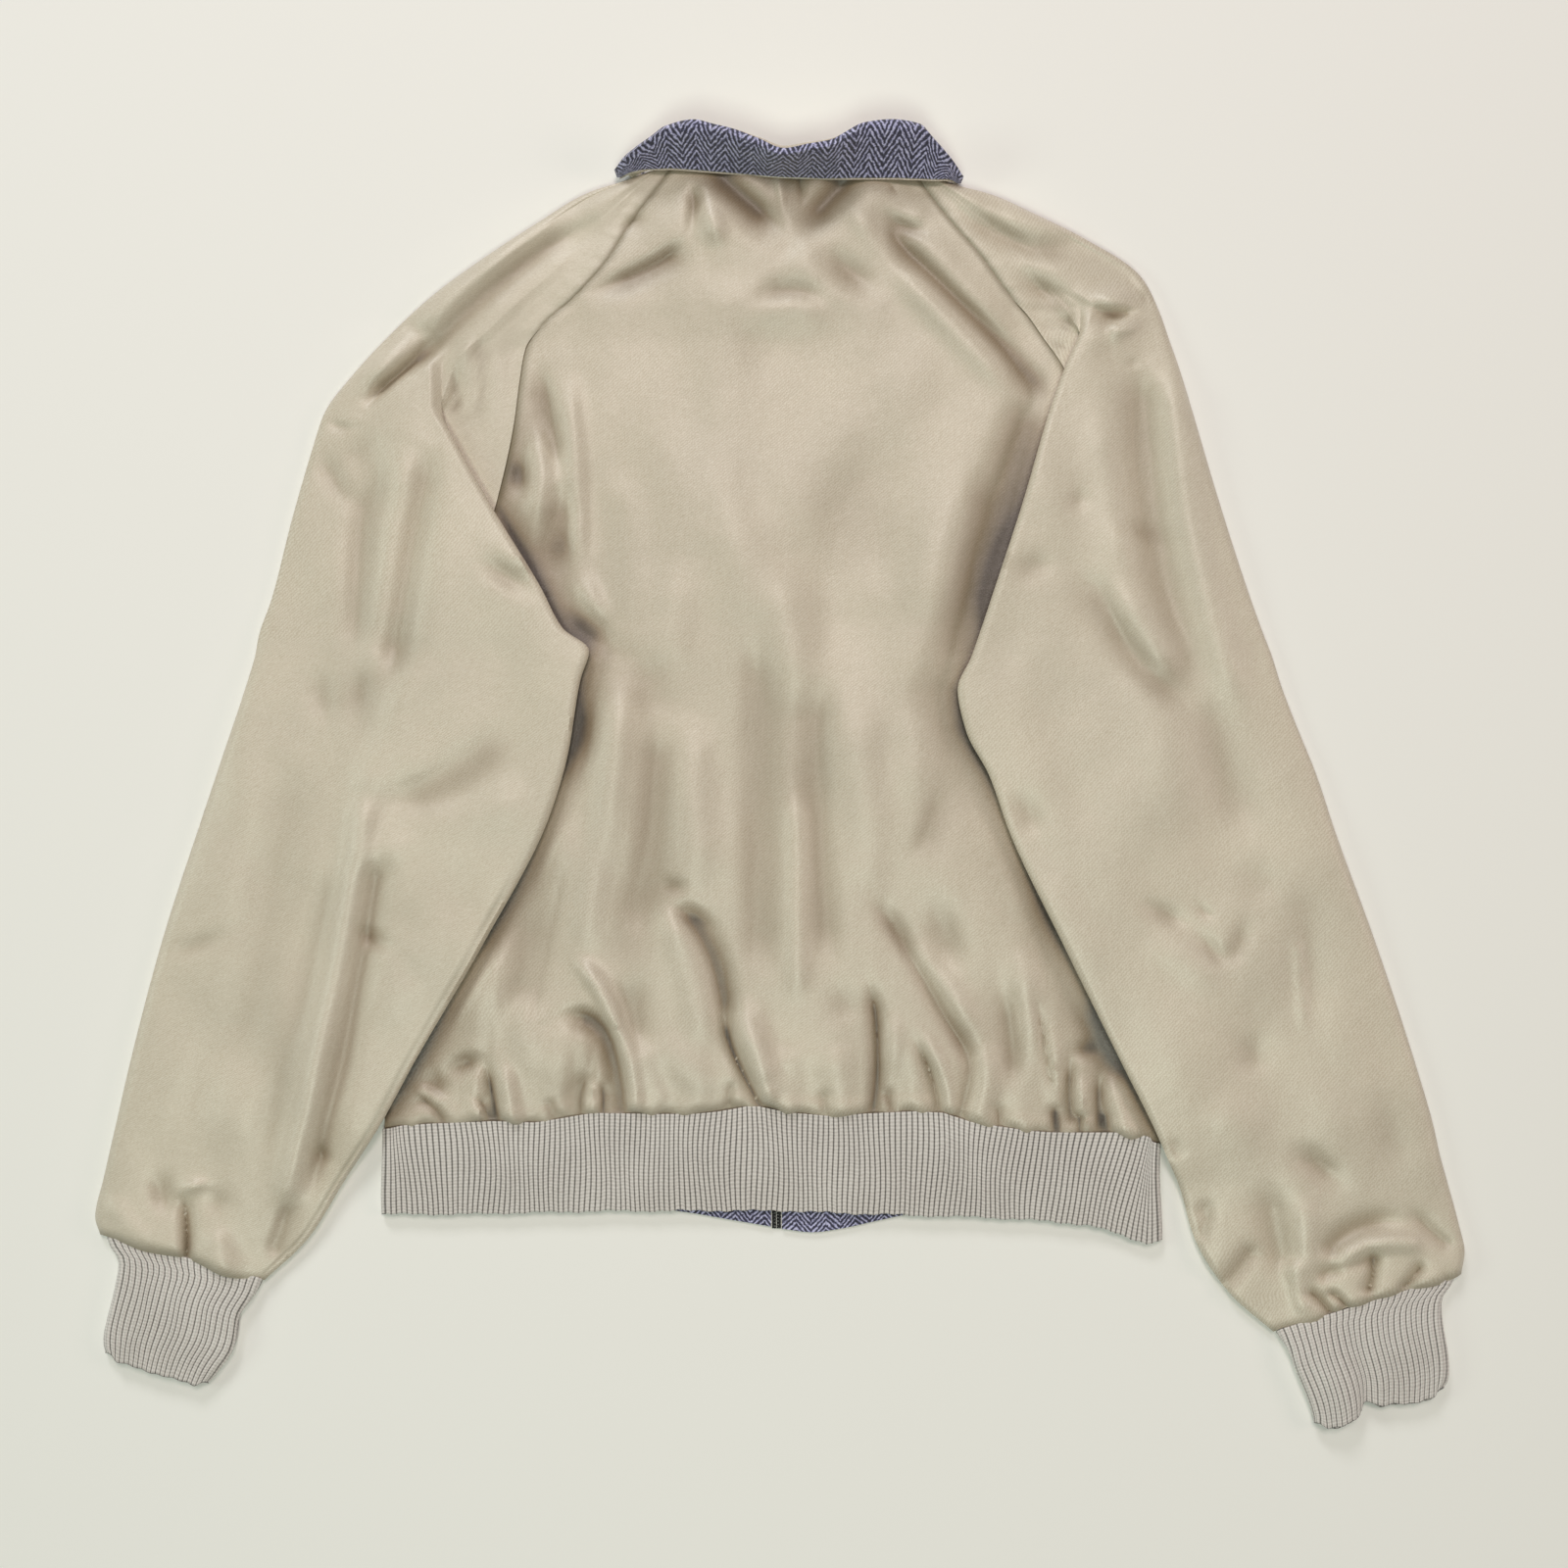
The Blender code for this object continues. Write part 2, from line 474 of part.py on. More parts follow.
def back_grid():
    """The back: raglan rows that share the sleeves' seams, then rows down to the hem, with its sides curled under."""
    gather_x = [row[0] for row in GATHERS]
    curl = (BACK_LAYER - FLOOR_LAYER) / 2
    shares = [(x - gather_x[0]) / (gather_x[-1] - gather_x[0]) for x in gather_x]
    rows = []
    for left, right in zip(LEFT_RAGLAN, RIGHT_RAGLAN):
        start = np.array(left.seam, float) + (SEAM / 2, 0)
        end = np.array(right.seam, float) - (SEAM / 2, 0)
        last = left is LEFT_RAGLAN[-1]
        if last:
            start, end = start + ARMPIT_GAP, end + (-ARMPIT_GAP[0], ARMPIT_GAP[1])
        places = [start, start + (curl / 2, 0), start + (INSET, 0)]
        places += [between(start + (INSET * 2, 0), end - (INSET * 2, 0), share) for share in shares]
        places += [end - (INSET, 0), end - (curl / 2, 0), end]
        heights = np.interp([p[0] for p in places], [start[0], end[0]], [left.seam_z, right.seam_z])
        bow = NECK_BOW if left is LEFT_RAGLAN[0] else 0.0
        reach = (end[0] - start[0]) / 2
        middle = (end[0] + start[0]) / 2
        rows.append(
            [(p[0], p[1] + bow * (1 - ((p[0] - middle) / reach) ** 2), z) for p, z in zip(places, heights)]
        )
    levels = [(y, None) for y in SIDE_ROWS] + [(HEM_SEAM[0][1] + above, above) for above in HEM_ROWS]
    for level, above in levels:
        ends = [side_x(level, 1), side_x(level, 2)]
        places = [ends[0], ends[0] + CURL_FIRST * curl, ends[0] + CURL_SECOND * curl]
        spread = smooth((SIDE_ROWS[0] - level) / FAN_RUN)
        inner = np.array([between(ends[0] + INSET * 2, ends[1] - INSET * 2, share) for share in shares])
        inner = between(inner, np.array(gather_x, float), spread)
        places += list(inner) + [ends[1] - CURL_SECOND * curl, ends[1] - CURL_FIRST * curl, ends[1]]
        layer = ARMPIT_LAYER if level == SIDE_ROWS[0] else BACK_LAYER
        edge_z = (BACK_LAYER - curl + SIDE_GAP, layer - CURL_FIRST * curl, layer)
        heights = list(edge_z) + [layer] * len(inner) + list(edge_z[::-1])
        if above is None:
            rows.append([(x, level, z) for x, z in zip(places, heights)])
        else:
            rows.append([(x, along(HEM_SEAM, x) + above, z) for x, z in zip(places, heights)])
    return np.array(rows, float)


def folded_back(grid):
    """The back's rows with its folds and gathers, which fade out before its seams and under the sleeves."""
    out = grid.copy()
    rows, columns = grid.shape[:2]
    for r in range(rows):
        for c in range(3, columns - 3):
            x, y, z = grid[r, c]
            left = clear_x(y, LEFT_RAGLAN, LEFT_TUBE, -1)
            right = clear_x(y, RIGHT_RAGLAN, RIGHT_TUBE, 1)
            inside = float(smooth((x - left - CLEAR) / FOLD_FADE) * smooth((right - CLEAR - x) / FOLD_FADE))
            rise = sum(fold_height(x, y, fold) for fold in FOLDS)
            hem_y = along(HEM_SEAM, x)
            at_hem = float(smooth((y - hem_y) / HEM_FADE))
            low = LOWEST if y < SHOULDER_Y else LOWEST_AT_NECK
            wave = gather_height(x, y, hem_y) if y < 0 else 0.0
            at_neck = float(smooth((NECK_FADE_FROM - y) / NECK_FADE))
            out[r, c, 2] = max(low, z + inside * (rise * at_hem * at_neck + wave))
    return out


def front_grid(raglan, side):
    """A front, flat on the floor, with its side curled up to meet the back's."""
    way = -1 if side == 1 else 1
    edge_x = ZIP_X + way * FRONT_EDGE
    curl = (BACK_LAYER - FLOOR_LAYER) / 2
    middle_y = np.linspace(FRONT_NECK, FRONT_HEM, len(raglan) + len(SIDE_ROWS[::2]) + 1)
    rows = []
    for row, y in zip(raglan, middle_y):
        last = row is raglan[-1]
        start = np.array(row.front, float) - (way * (SEAM / 2 + (2.0 if last else 0.0)), 0.0)
        if last:
            start = start + (0.0, 3.0)
        inner = [start, start - (way * curl / 2, 0.0), start - (way * 2 * curl, 0.0)]
        bow = FRONT_BOW if row is raglan[0] else 0.0
        spread = [between(inner[-1], (edge_x, y), share) for share in (0.33, 0.66, 1.0)]
        spread = [place - (0.0, bow * share) for place, share in zip(spread, (1.0, 1.0, 0.0))]
        rows.append([(*place, FLOOR_LAYER) for place in inner + spread])
    hem_y = HEM_SEAM[0][1]
    for level, y in zip(SIDE_ROWS[::2] + (hem_y,), middle_y[len(raglan):]):
        end = side_x(level, side)
        inner = [(end, level), (end - way * CURL_FIRST * curl, level), (end - way * CURL_SECOND * curl, level)]
        heights = [FLOOR_LAYER + curl - SIDE_GAP, FLOOR_LAYER + CURL_FIRST * curl, FLOOR_LAYER]
        spread = [between(inner[-1], (edge_x, y), share) for share in (0.33, 0.66, 1.0)]
        heights += [FLOOR_LAYER] * 3
        rows.append([(*place, z) for place, z in zip(inner + spread, heights)])
    grid = np.array(rows, float)
    return grid[:, ::-1] if side == 1 else grid


def front_hem(x):
    """The y where the band and tabs start below a front, at this x."""
    return float(np.interp(abs(x - ZIP_X), [FRONT_EDGE, 235], [FRONT_HEM, HEM_SEAM[0][1]])) - SEAM - 1.0


def band_grid(hem_row, tab_left, tab_right):
    """The rib band: from one hem tab under the left side, across the back and under the right side to the other."""
    low, high = RIB_KNIT / 2, BACK_LAYER + BAND_RISE
    radius = (high - low) / 2
    left, right = side_x(BAND_MIDDLE, 1), side_x(BAND_MIDDLE, 2)
    stations = [(x, low, False) for x in np.linspace(tab_left, left + radius, 8)]
    for k in range(1, 6):
        angle = pi * k / 6
        stations.append((left + radius * (1 - sin(angle)), (low + high) / 2 - radius * cos(angle), False))
    count = int(round((right - left - 2 * radius) / RIB_PITCH)) * 2
    stations += [(x, high, True) for x in np.linspace(left + radius, right - radius, count + 1)]
    for k in range(1, 6):
        angle = pi * k / 6
        stations.append((right - radius * (1 - sin(angle)), (low + high) / 2 + radius * cos(angle), False))
    stations += [(x, low, False) for x in np.linspace(right - radius, tab_right, 8)]
    top, foot, relief = [], [], []
    for k, (x, z, ribbed) in enumerate(stations):
        share = smooth((z - low) / (0.3 * (high - low)))
        back_top = float(np.interp(x, hem_row[:, 0], hem_row[:, 1])) - SEAM
        front_top = front_hem(x)
        top.append((x, between(front_top, back_top, share), z))
        foot.append((x, between(along(FRONT_FOOT, x), along(BAND_FOOT, x), share), z))
        relief.append(RIB_HEIGHT if ribbed and k % 2 else 0.0)
    return np.array([foot, top], float), np.array([relief, relief], float)


def cuff_grid(end_row, cuff, side):
    """A rib cuff: a flat ring from the sleeve's end to its free edge, ribbed on its upper side."""
    way = -1 if side == 1 else 1
    low = RIB_KNIT / 2
    inner_start, outer_start = np.array(end_row.edge, float), np.array(end_row.outer, float)
    across = (outer_start - inner_start) / np.linalg.norm(outer_start - inner_start)
    down = np.array((across[1], -across[0])) * way
    inner_start = inner_start + across * CUFF_INSETS[0] + down * SEAM
    outer_start = outer_start - across * CUFF_INSETS[1] + down * SEAM
    rows, relief = [], []
    for k in range(CUFF_ROWS):
        share = k / (CUFF_ROWS - 1)
        inner = between(inner_start, cuff.inner, share)
        outer = between(outer_start, cuff.outer, share)
        count = 2 * int(round(np.linalg.norm(np.array(cuff.outer) - cuff.inner) * CUFF_STRETCH / RIB_PITCH))
        heights = np.interp(np.linspace(0, 1, count + 1), [0, 0.5, 1], cuff.heights)
        heights = between(CUFF_SEAM_Z, heights, smooth(share * 2 + 0.2))
        direction = (outer - inner) / np.linalg.norm(outer - inner)
        points, ribs = [], []
        radius = (heights[0] - low) / 2
        points += turn(inner, direction, low, heights[0], 1.0, 0.0, 5, True)[:-1]
        ribs += [0.0] * 4
        end_radius = (heights[-1] - low) / 2
        first, last = inner + direction * radius, outer - direction * end_radius
        for j in range(count + 1):
            points.append((*between(first, last, j / count), heights[j]))
            ribs.append(RIB_HEIGHT if j % 2 else 0.0)
        points += turn(outer, direction, heights[-1], low, 1.0, 0.0, 5, False)[1:]
        ribs += [0.0] * 4
        for j in range(1, 8):
            points.append((*between(last, first, j / 8), low))
            ribs.append(0.0)
        rows.append(points)
        relief.append(ribs)
    grid, lift = np.array(rows, float), np.array(relief, float)
    return (grid, lift) if side == 2 else (grid[:, ::-1], lift[:, ::-1])


def collar_grid():
    """The under collar: up its stand from the neck seam, round the ridge and down its fall to the free edge."""
    stations = [COLLAR[0]]
    for last, row in zip(COLLAR, COLLAR[1:]):
        if np.linalg.norm(np.subtract(row.ridge, last.ridge)) > COLLAR_STEP:
            stations.append(Collar(*(between(a, b, 0.5) for a, b in zip(last, row))))
        stations.append(row)
    columns = []
    for row in stations:
        neck, ridge, hem = (np.array(place, float) for place in row)
        gap = between(2 * LEAF, COLLAR_ROLL, smooth((ridge[2] - 9) / 18))
        up = (ridge - neck) / np.linalg.norm(ridge - neck)
        out = (hem - neck) - ((hem - neck) @ up) * up
        out /= np.linalg.norm(out)
        centre = ridge - up * gap / 2
        column = [neck, between(neck, centre - out * gap / 2, 0.5)]
        for k in range(4):
            angle = pi * (k / 3 - 0.5)
            column.append(centre + gap / 2 * (sin(angle) * out + cos(angle) * up))
        column += [between(column[-1], hem, 0.5), hem]
        columns.append(column)
    return np.array(columns, float).transpose(1, 0, 2)


def block(name, low, high, material):
    """A plain block between two corners."""
    points = [(x, y, z) for x in (low[0], high[0]) for y in (low[1], high[1]) for z in (low[2], high[2])]
    faces = [(0, 1, 3, 2), (4, 6, 7, 5), (0, 4, 5, 1), (2, 3, 7, 6), (0, 2, 6, 4), (1, 5, 7, 3)]
    mesh = bpy.data.meshes.new(name)
    mesh.from_pydata((settled(np.array(points, float)) * MM).tolist(), [], faces)
    mesh.materials.append(material)
    piece = bpy.data.objects.new(name, mesh)
    bpy.context.collection.objects.link(piece)
    return piece


def tab_grid(start, end):
    """A hem tab: a flat layer from the front's hem seam down to the lower edge."""
    rows = []
    for share in (1.0, 0.5, 0.0):
        row = []
        for x in np.linspace(start, end, 5):
            foot = along(FRONT_FOOT, x)
            row.append((x, between(foot, front_hem(x), share), LEAF / 2))
        rows.append(row)
    return np.array(rows, float)


def centre_on_floor():
    """Moves the whole jacket so that the middle of its box's underside is the origin."""
    corners = np.vstack([[v.co[:] for v in piece.data.vertices] for piece in bpy.data.objects])
    low, high = corners.min(axis=0), corners.max(axis=0)
    shift = np.array([(low[0] + high[0]) / 2, (low[1] + high[1]) / 2, low[2]])
    for piece in bpy.data.objects:
        piece.location = (-shift).tolist()


def main():
    for old in list(bpy.data.objects):
        bpy.data.objects.remove(old, do_unlink=True)
    twill = shade("tan_twill", (0.53, 0.47, 0.36), 0.55)
    knit = shade("rib_knit", (0.42, 0.38, 0.33), 0.9)
    tweed = shade("grey_tweed", (0.16, 0.16, 0.2), 0.95)
    black = shade("zip_black", (0.02, 0.02, 0.022), 0.6)

    back = back_grid()
    wall("back_panel", folded_back(back), CLOTH, twill)
    wall("sleeve_left", sleeve_grid(LEFT_RAGLAN, LEFT_TUBE, 1), CLOTH, twill, ring_from=len(LEFT_RAGLAN) - 1)
    wall("sleeve_right", sleeve_grid(RIGHT_RAGLAN, RIGHT_TUBE, 2), CLOTH, twill, ring_from=len(RIGHT_RAGLAN) - 1)
    wall("front_left", front_grid(LEFT_RAGLAN, 1), CLOTH, twill)
    wall("front_right", front_grid(RIGHT_RAGLAN, 2), CLOTH, twill)

    tab_left, tab_right = TAB_ENDS
    band, ribs = band_grid(back[-1], tab_left, tab_right)
    wall("hem_rib", band, RIB_KNIT, knit, relief=ribs)
    for name, row, cuff, side in (
        ("cuff_left", LEFT_TUBE[-1], LEFT_CUFF, 1),
        ("cuff_right", RIGHT_TUBE[-1], RIGHT_CUFF, 2),
    ):
        ring, ribs = cuff_grid(row, cuff, side)
        wall(name, ring, RIB_KNIT, knit, ring_from=0, relief=ribs)

    on_leaf = LEAF + LEAF_GAP
    under = collar_grid()
    wall("collar_top", under[STAND_ROWS:], LEAF, tweed, out=on_leaf)
    fall = under[-1] - under[-2]
    under[-1] += fall / np.linalg.norm(fall, axis=1, keepdims=True) * COLLAR_EDGE
    wall("collar_under", under, LEAF, twill)

    left = tab_grid(tab_left + SEAM, ZIP_X - FRONT_EDGE)
    right = tab_grid(ZIP_X + FRONT_EDGE, tab_right - SEAM)
    wall("tab_left", left, LEAF, twill)
    wall("tab_right", right, LEAF, twill)
    wall("tab_facing_left", left, LEAF, tweed, out=on_leaf)
    wall("tab_facing_right", right, LEAF, tweed, out=on_leaf)
    block("zip_left", (ZIP_X - ZIP_HALF_WIDTH, ZIP_FOOT, ZIP_BASE), (ZIP_X - SEAM / 2, ZIP_TOP, ZIP_FACE), black)
    block("zip_right", (ZIP_X + SEAM / 2, ZIP_FOOT, ZIP_BASE), (ZIP_X + ZIP_HALF_WIDTH, ZIP_TOP, ZIP_FACE), black)
    slider_foot = ZIP_TOP + SEAM
    slider_low = (ZIP_X - SLIDER[0] / 2, slider_foot, SLIDER_BASE)
    slider_high = (ZIP_X + SLIDER[0] / 2, slider_foot + SLIDER[1], SLIDER_FACE)
    block("zip_slider", slider_low, slider_high, black)
    centre_on_floor()


main()
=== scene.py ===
"""Dresses a man's blouson that lies on its front, back up, with its raglan sleeves over the sides of the body.

Tables are in millimetres, seen from straight above: +X is the viewer's right, +Y the collar's end, +Z up.
Each cloth piece is a surface through the same sections as its solid, made finer, then folded, gathered and given
its thickness. What repeats, such as ribs and zip teeth, is worked out from its pitch.
"""

from collections import namedtuple
from math import cos, pi, radians, sin

import bpy
import numpy as np
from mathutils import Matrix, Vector


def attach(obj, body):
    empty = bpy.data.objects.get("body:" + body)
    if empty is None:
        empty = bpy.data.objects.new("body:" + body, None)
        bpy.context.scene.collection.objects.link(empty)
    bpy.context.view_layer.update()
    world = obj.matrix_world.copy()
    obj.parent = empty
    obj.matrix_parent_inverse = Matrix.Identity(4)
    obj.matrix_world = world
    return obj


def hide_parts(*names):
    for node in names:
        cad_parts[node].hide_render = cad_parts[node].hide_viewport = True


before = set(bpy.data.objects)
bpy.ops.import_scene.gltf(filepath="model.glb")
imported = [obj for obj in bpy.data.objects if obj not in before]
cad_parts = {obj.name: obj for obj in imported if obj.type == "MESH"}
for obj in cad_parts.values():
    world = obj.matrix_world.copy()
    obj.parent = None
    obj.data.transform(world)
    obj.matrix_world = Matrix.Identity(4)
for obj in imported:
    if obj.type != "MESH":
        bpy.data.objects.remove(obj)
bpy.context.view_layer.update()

MM = 0.001
LEFT, RIGHT = -1, 1  # the sides as seen from above, and their directions in x

# --- The jacket's own sizes, as its solids have them ---
CLOTH = 1.8  # thickness of the cotton twill with its tweed backing
LEAF = 1.2  # each leaf of the collar and each layer of a hem tab
LEAF_GAP = 0.35
COLLAR_EDGE = 0.9  # the under collar shows this far past the top collar's free edge
RIB_KNIT = 2.5
RIB_PITCH = 3.1
BAND_RISE = 0.6  # the band's upper layer lies this far above the back's
TAB_ENDS = (-72.0, 76.0)  # the hem tabs' outer ends, where the band begins
SEAM = 0.4  # clear distance between two sewn edges
FLOOR_LAYER = CLOTH / 2  # middle surface of a wall that rests on the floor
BACK_LAYER = 5.0  # middle surface of the back where it lies on the fronts
CURL = (BACK_LAYER - FLOOR_LAYER) / 2  # the body's side edges curl round by this radius
CURL_FIRST, CURL_SECOND = 0.35, 1.2  # the columns of a curled side edge, as shares of its curl
ARMPIT_LAYER = 4.4  # the back between the armpits, where the sleeves' undersides come down to the body
OVER_BODY = 7.6  # underside layer of a sleeve that lies on the back
TUCK_STEP = 3.3  # from the back's level to the layer folded on it
SLEEVE_DEPTH = 4.8  # between a sleeve's two layers at its inner edge
OUTER_DEPTH = 4.6  # and at its outer edge
SLEEVE_ARCH, ARCH_WIDTH = 0.9, 100  # how far the upper layer rises between edges that are this far apart
SIDE_GAP = 1.15  # each side edge stops this far short of the level between front and back
SIDE_START, SIDE_RAMP = 3.0, 20.0  # a sleeve comes down from the body to the floor from this far off, over this run
TUCK_SPREAD = 4.0  # half width of a crease that isn't folded over yet
SMOOTH_RISE = 0.8  # the cloth's rise across each of a crease's two bends where it isn't folded at all
HIGH_SEAM, OUTER_LIFT = 8.5, 1.2  # above this seam height the outer edge rises by so much for each further mm
ARMPIT_RISE, TUCK_RISE = 1.1, 0.6  # at the armpit the front seam and the tuck stand this much higher
ARMPIT_GAP = (1.6, 1.5)  # how far the back's corner at the armpit stays inside its seam
FRONT_GAP = (2.0, 3.0)  # and the front's
BAND_MIDDLE, BAND_FADE = -250.0, 14.0  # the y of the band's middle, below which a sleeve lies on the floor
TURN_POINTS = 4  # points round a fold's tip
UPPER_POINTS, UNDER_POINTS = 7, 6  # and along a sleeve's upper layer and underside
SEAM_TO_EDGE = (0.0, 0.015, 0.035, 0.07, 0.3, 0.6)  # the underside's points from the underarm seam in to the edge
UNDER_SEAM = -3.0  # the underarm seam lies on the back, this far beyond the body's side
LEAST_TO_SEAM = 10  # and at least this far out from the sleeve's inner edge
RAMP_STEPS = (26.0, 17.0, 11.0, 6.0, 2.0)  # the underside's points, by their distance from that seam

# The tables hold places as an eye this far above the middle sees them, at the height named.
EYE = (3.0, -5.0, 974.0)
TABLE_HEIGHT = 12.0
SHIFT = (-0.474, 5.165, 0.037)  # from the tables' middle to the middle of the jacket's underside

ZIP_X = -1.6
ZIP_HALF_WIDTH = 2.7
ZIP_TOP = 272.0
ZIP_FOOT = -277.0
FRONT_EDGE = 3.3  # from the zip's middle to the edge of a front


def rows_of(kind, *rows):
    """Named rows from rows of plain numbers. A last number that is left out is 0."""
    made = []
    for row in rows:
        numbers = iter((*row, 0))
        fields = (next(numbers) if size == 1 else tuple(next(numbers) for _ in range(size)) for size in SIZES[kind])
        made.append(kind(*fields))
    return tuple(made)


Section = namedtuple("Section", "seam tuck edge outer front seam_z crease")
Tube = namedtuple("Tube", "edge outer")
Fold = namedtuple("Fold", "start end width height")
Collar = namedtuple("Collar", "neck ridge hem")
Cuff = namedtuple("Cuff", "inner outer heights")
Crease = namedtuple("Crease", "start bend end width height lean")
# How many numbers of a row each field takes: a place has its x and y, and in the collar its height too.
SIZES = {
    Section: (2, 2, 2, 2, 2, 1, 1), Tube: (2, 2), Fold: (2, 2, 1, 1), Collar: (3, 3, 3), Crease: (2, 2, 2, 1, 1, 1)
}

# One row for each section of a sleeve above the armpit: where the back seam, the hidden tuck, the inner edge, the
# outer edge and the front seam run, how high the back seam lies, and how far the crease between tuck and edge has
# formed: 0 is smooth, 1 is a step and 2 is folded right over.
LEFT_RAGLAN = rows_of(Section,
    (-63, 376, -70, 373, -74, 371.5, -92, 364, -82, 347, 10.5),
    (-75, 360, -86, 359, -92, 358.5, -118, 356, -88, 332, 10.5),
    (-90, 340, -106, 339, -115, 338.5, -150, 337, -98, 312, 10.2),
    (-106, 315, -128, 315, -140, 315.5, -182, 316, -110, 290, 9.4),
    (-127, 292, -154, 292, -168, 293, -212, 294, -123, 268, 8.4),
    (-146, 275, -178, 270, -196, 268, -240, 268, -136, 246, 6.4, 0.2),
    (-155, 262, -193, 256, -209, 252, -262, 244, -146, 229, 5.2, 0.6),
    (-159, 240, -203, 233, -209, 228, -279, 221, -154, 213, 5, 1.1),
    (-162, 217, -213, 208, -201, 210, -286, 200, -161, 196, 5, 2),
    (-173, 167, -210, 158, -177, 167, -299, 155, -177, 155, 5, 2),
    (-190, 115, -202, 113, -146, 116, -311, 108, -191, 113, 5, 2),
    (-198, 92, -201, 91, -132, 90, -319, 85, -198, 91, 4.2, 2),
)
RIGHT_RAGLAN = rows_of(Section,
    (79, 374, 86, 370.5, 90, 368.5, 104, 361, 95, 346, 10.5),
    (91, 358, 101, 357.5, 106, 357, 128, 356, 101, 332, 10.5),
    (105, 340, 119, 341, 127, 341.5, 158, 343, 111, 312, 10.2),
    (124, 318, 143, 320.5, 154, 322, 190, 327, 123, 291, 9.4),
    (140, 296, 161, 298, 174, 299, 222, 305, 137, 268, 8.4),
    (152, 282, 174, 283, 187, 287, 233, 284, 148, 250, 6.4, 0.6),
    (161, 269, 188, 268, 184, 272, 239, 267, 158, 233, 5.2, 1.8),
    (174, 250, 198, 247, 175, 251, 246, 247, 168, 216, 5, 2),
    (183, 226, 206, 223, 166, 226, 253, 224, 179, 196, 5, 2),
    (195, 169, 209, 168, 149, 168, 269, 170, 194, 152, 5, 2),
    (202, 113, 211, 112, 131, 113, 287, 114, 202, 111, 5, 2),
    (206, 90, 209, 90, 123, 89, 297, 86, 206, 89, 4.2, 2),
)
# Below the armpit each section is a closed ring, from its inner edge to its outer edge.
LEFT_TUBE = rows_of(Tube,
    (-116, 76, -321, 74), (-121, 60, -326, 57), (-129, 13, -341, 12), (-140, -24, -353, -24),
    (-181, -103, -378, -101), (-224, -177, -398, -177), (-243, -212, -406, -212), (-266, -248, -414, -247),
    (-288, -283, -419, -270), (-314, -308, -416, -280),
)
RIGHT_TUBE = rows_of(Tube,
    (117, 72, 302, 73), (109, 53, 308, 54), (114, 28, 318, 28), (128, 1, 329, 1), (141, -35, 341, -35),
    (174, -104, 366, -104), (210, -177, 390, -177), (229, -215, 401, -215), (237, -233, 405, -233),
    (245, -252, 410, -251), (254, -283, 417, -277), (275, -316, 420, -291), (302, -340, 418, -304),
)
SLEEVES = {LEFT: (LEFT_RAGLAN, LEFT_TUBE), RIGHT: (RIGHT_RAGLAN, RIGHT_TUBE)}

# The body's side folds below the armpit, as y, left x and right x.
SIDES = (
    (86, -191, 195), (74, -196, 201), (60, -205, 211), (20, -217, 220), (-65, -232, 229), (-125, -238, 233),
    (-173, -241, 233), (-300, -242, 233),
)
SIDE_ROWS = (86, 66, 30, -20, -70, -115, -150)
HEM_ROWS = (32, 14, 0)  # the back's last rows, by their distance above the hem seam

# The seam between the back and its rib band, and the band's lower edge, as x and y.
HEM_SEAM = (
    (-242, -216), (-219, -213), (-173, -211), (-157, -213), (-113, -206), (-59, -207), (-42, -206), (-20, -202),
    (-8, -202), (7, -206), (25, -208), (80, -205), (98, -206), (115, -212), (154, -218), (199, -218), (234, -225),
)
BAND_FOOT = (
    (-242, -268), (-194, -268), (-110, -266), (3, -266), (52, -268), (126, -270), (163, -272), (190, -275),
    (208, -280), (225, -286), (234, -284),
)
HEM_LEVEL = HEM_SEAM[0][1]
FRONT_HEM, FRONT_REACH = -206.0, 235  # y of the fronts' hem seam at the zip, and how far out it falls to HEM_LEVEL
FRONT_FOOT = ((-242, -262), (-75, -265), (-63, -266), (-5, -276), (16, -280), (39, -277), (80, -268), (234, -266))

# Crests and valleys of the gathers on the hem seam, by turns from left to right: x, and how far up they run.
GATHERS = (
    (-225, 20), (-208, 45), (-197, 30), (-186, 50), (-180, 35), (-174, 95), (-150, 40), (-135, 30), (-126, 40),
    (-119, 60), (-114, 35), (-110, 60), (-99, 40), (-91, 110), (-74, 60), (-50, 60), (-38, 40), (-28, 55),
    (-20, 40), (-12, 100), (6, 60), (29, 40), (46, 50), (58, 105), (72, 45), (82, 60), (98, 95),
    (116, 50), (134, 60), (147, 45), (162, 50), (169, 90), (178, 40), (186, 60), (199, 35), (212, 30),
)
GATHER_HEIGHT = 1.5
GATHER_SHARE = 0.6  # each gather falls off over this share of its reach
HEM_FADE, NECK_FADE = 40.0, 20.0  # the folds fade out over these runs towards the hem seam and the neck seam
INSET = 4.0  # spacing of the back's columns beside its side edges
FAN_RUN = 200.0  # run over which the back's columns fan out from even spacing to the gathers'
NECK_BOW = 3.4  # how far the back's neck seam bows up in the middle
FRONT_NECK, FRONT_BOW = 299.0, 13.0  # y of the fronts' neck seam at the zip, and how far it bows down

# The largest folds of the back: a line, the half width and how far it stands above (or sinks below) the cloth.
FOLDS = rows_of(Fold,
    (-52, 362, -40, 335, 22, 2.8), (62, 362, 52, 333, 22, 2.8), (6, 368, 6, 335, 20, -1),
    (-40, 362, -120, 296, 12, 2.2), (58, 350, 150, 240, 14, 1.6), (-30, 290, 36, 296, 13, 1.8),
    (-128, 235, -112, 95, 15, -1.3), (-96, 170, -82, 80, 12, 1.8), (6, 90, 20, -170, 24, 1.6),
    (-44, 130, -40, -160, 16, -1.3), (66, 120, 60, -60, 16, -1), (150, 200, 120, 130, 12, -1),
    (-100, 20, -92, -120, 14, 1.4), (96, -30, 112, -150, 14, 1.4),
)

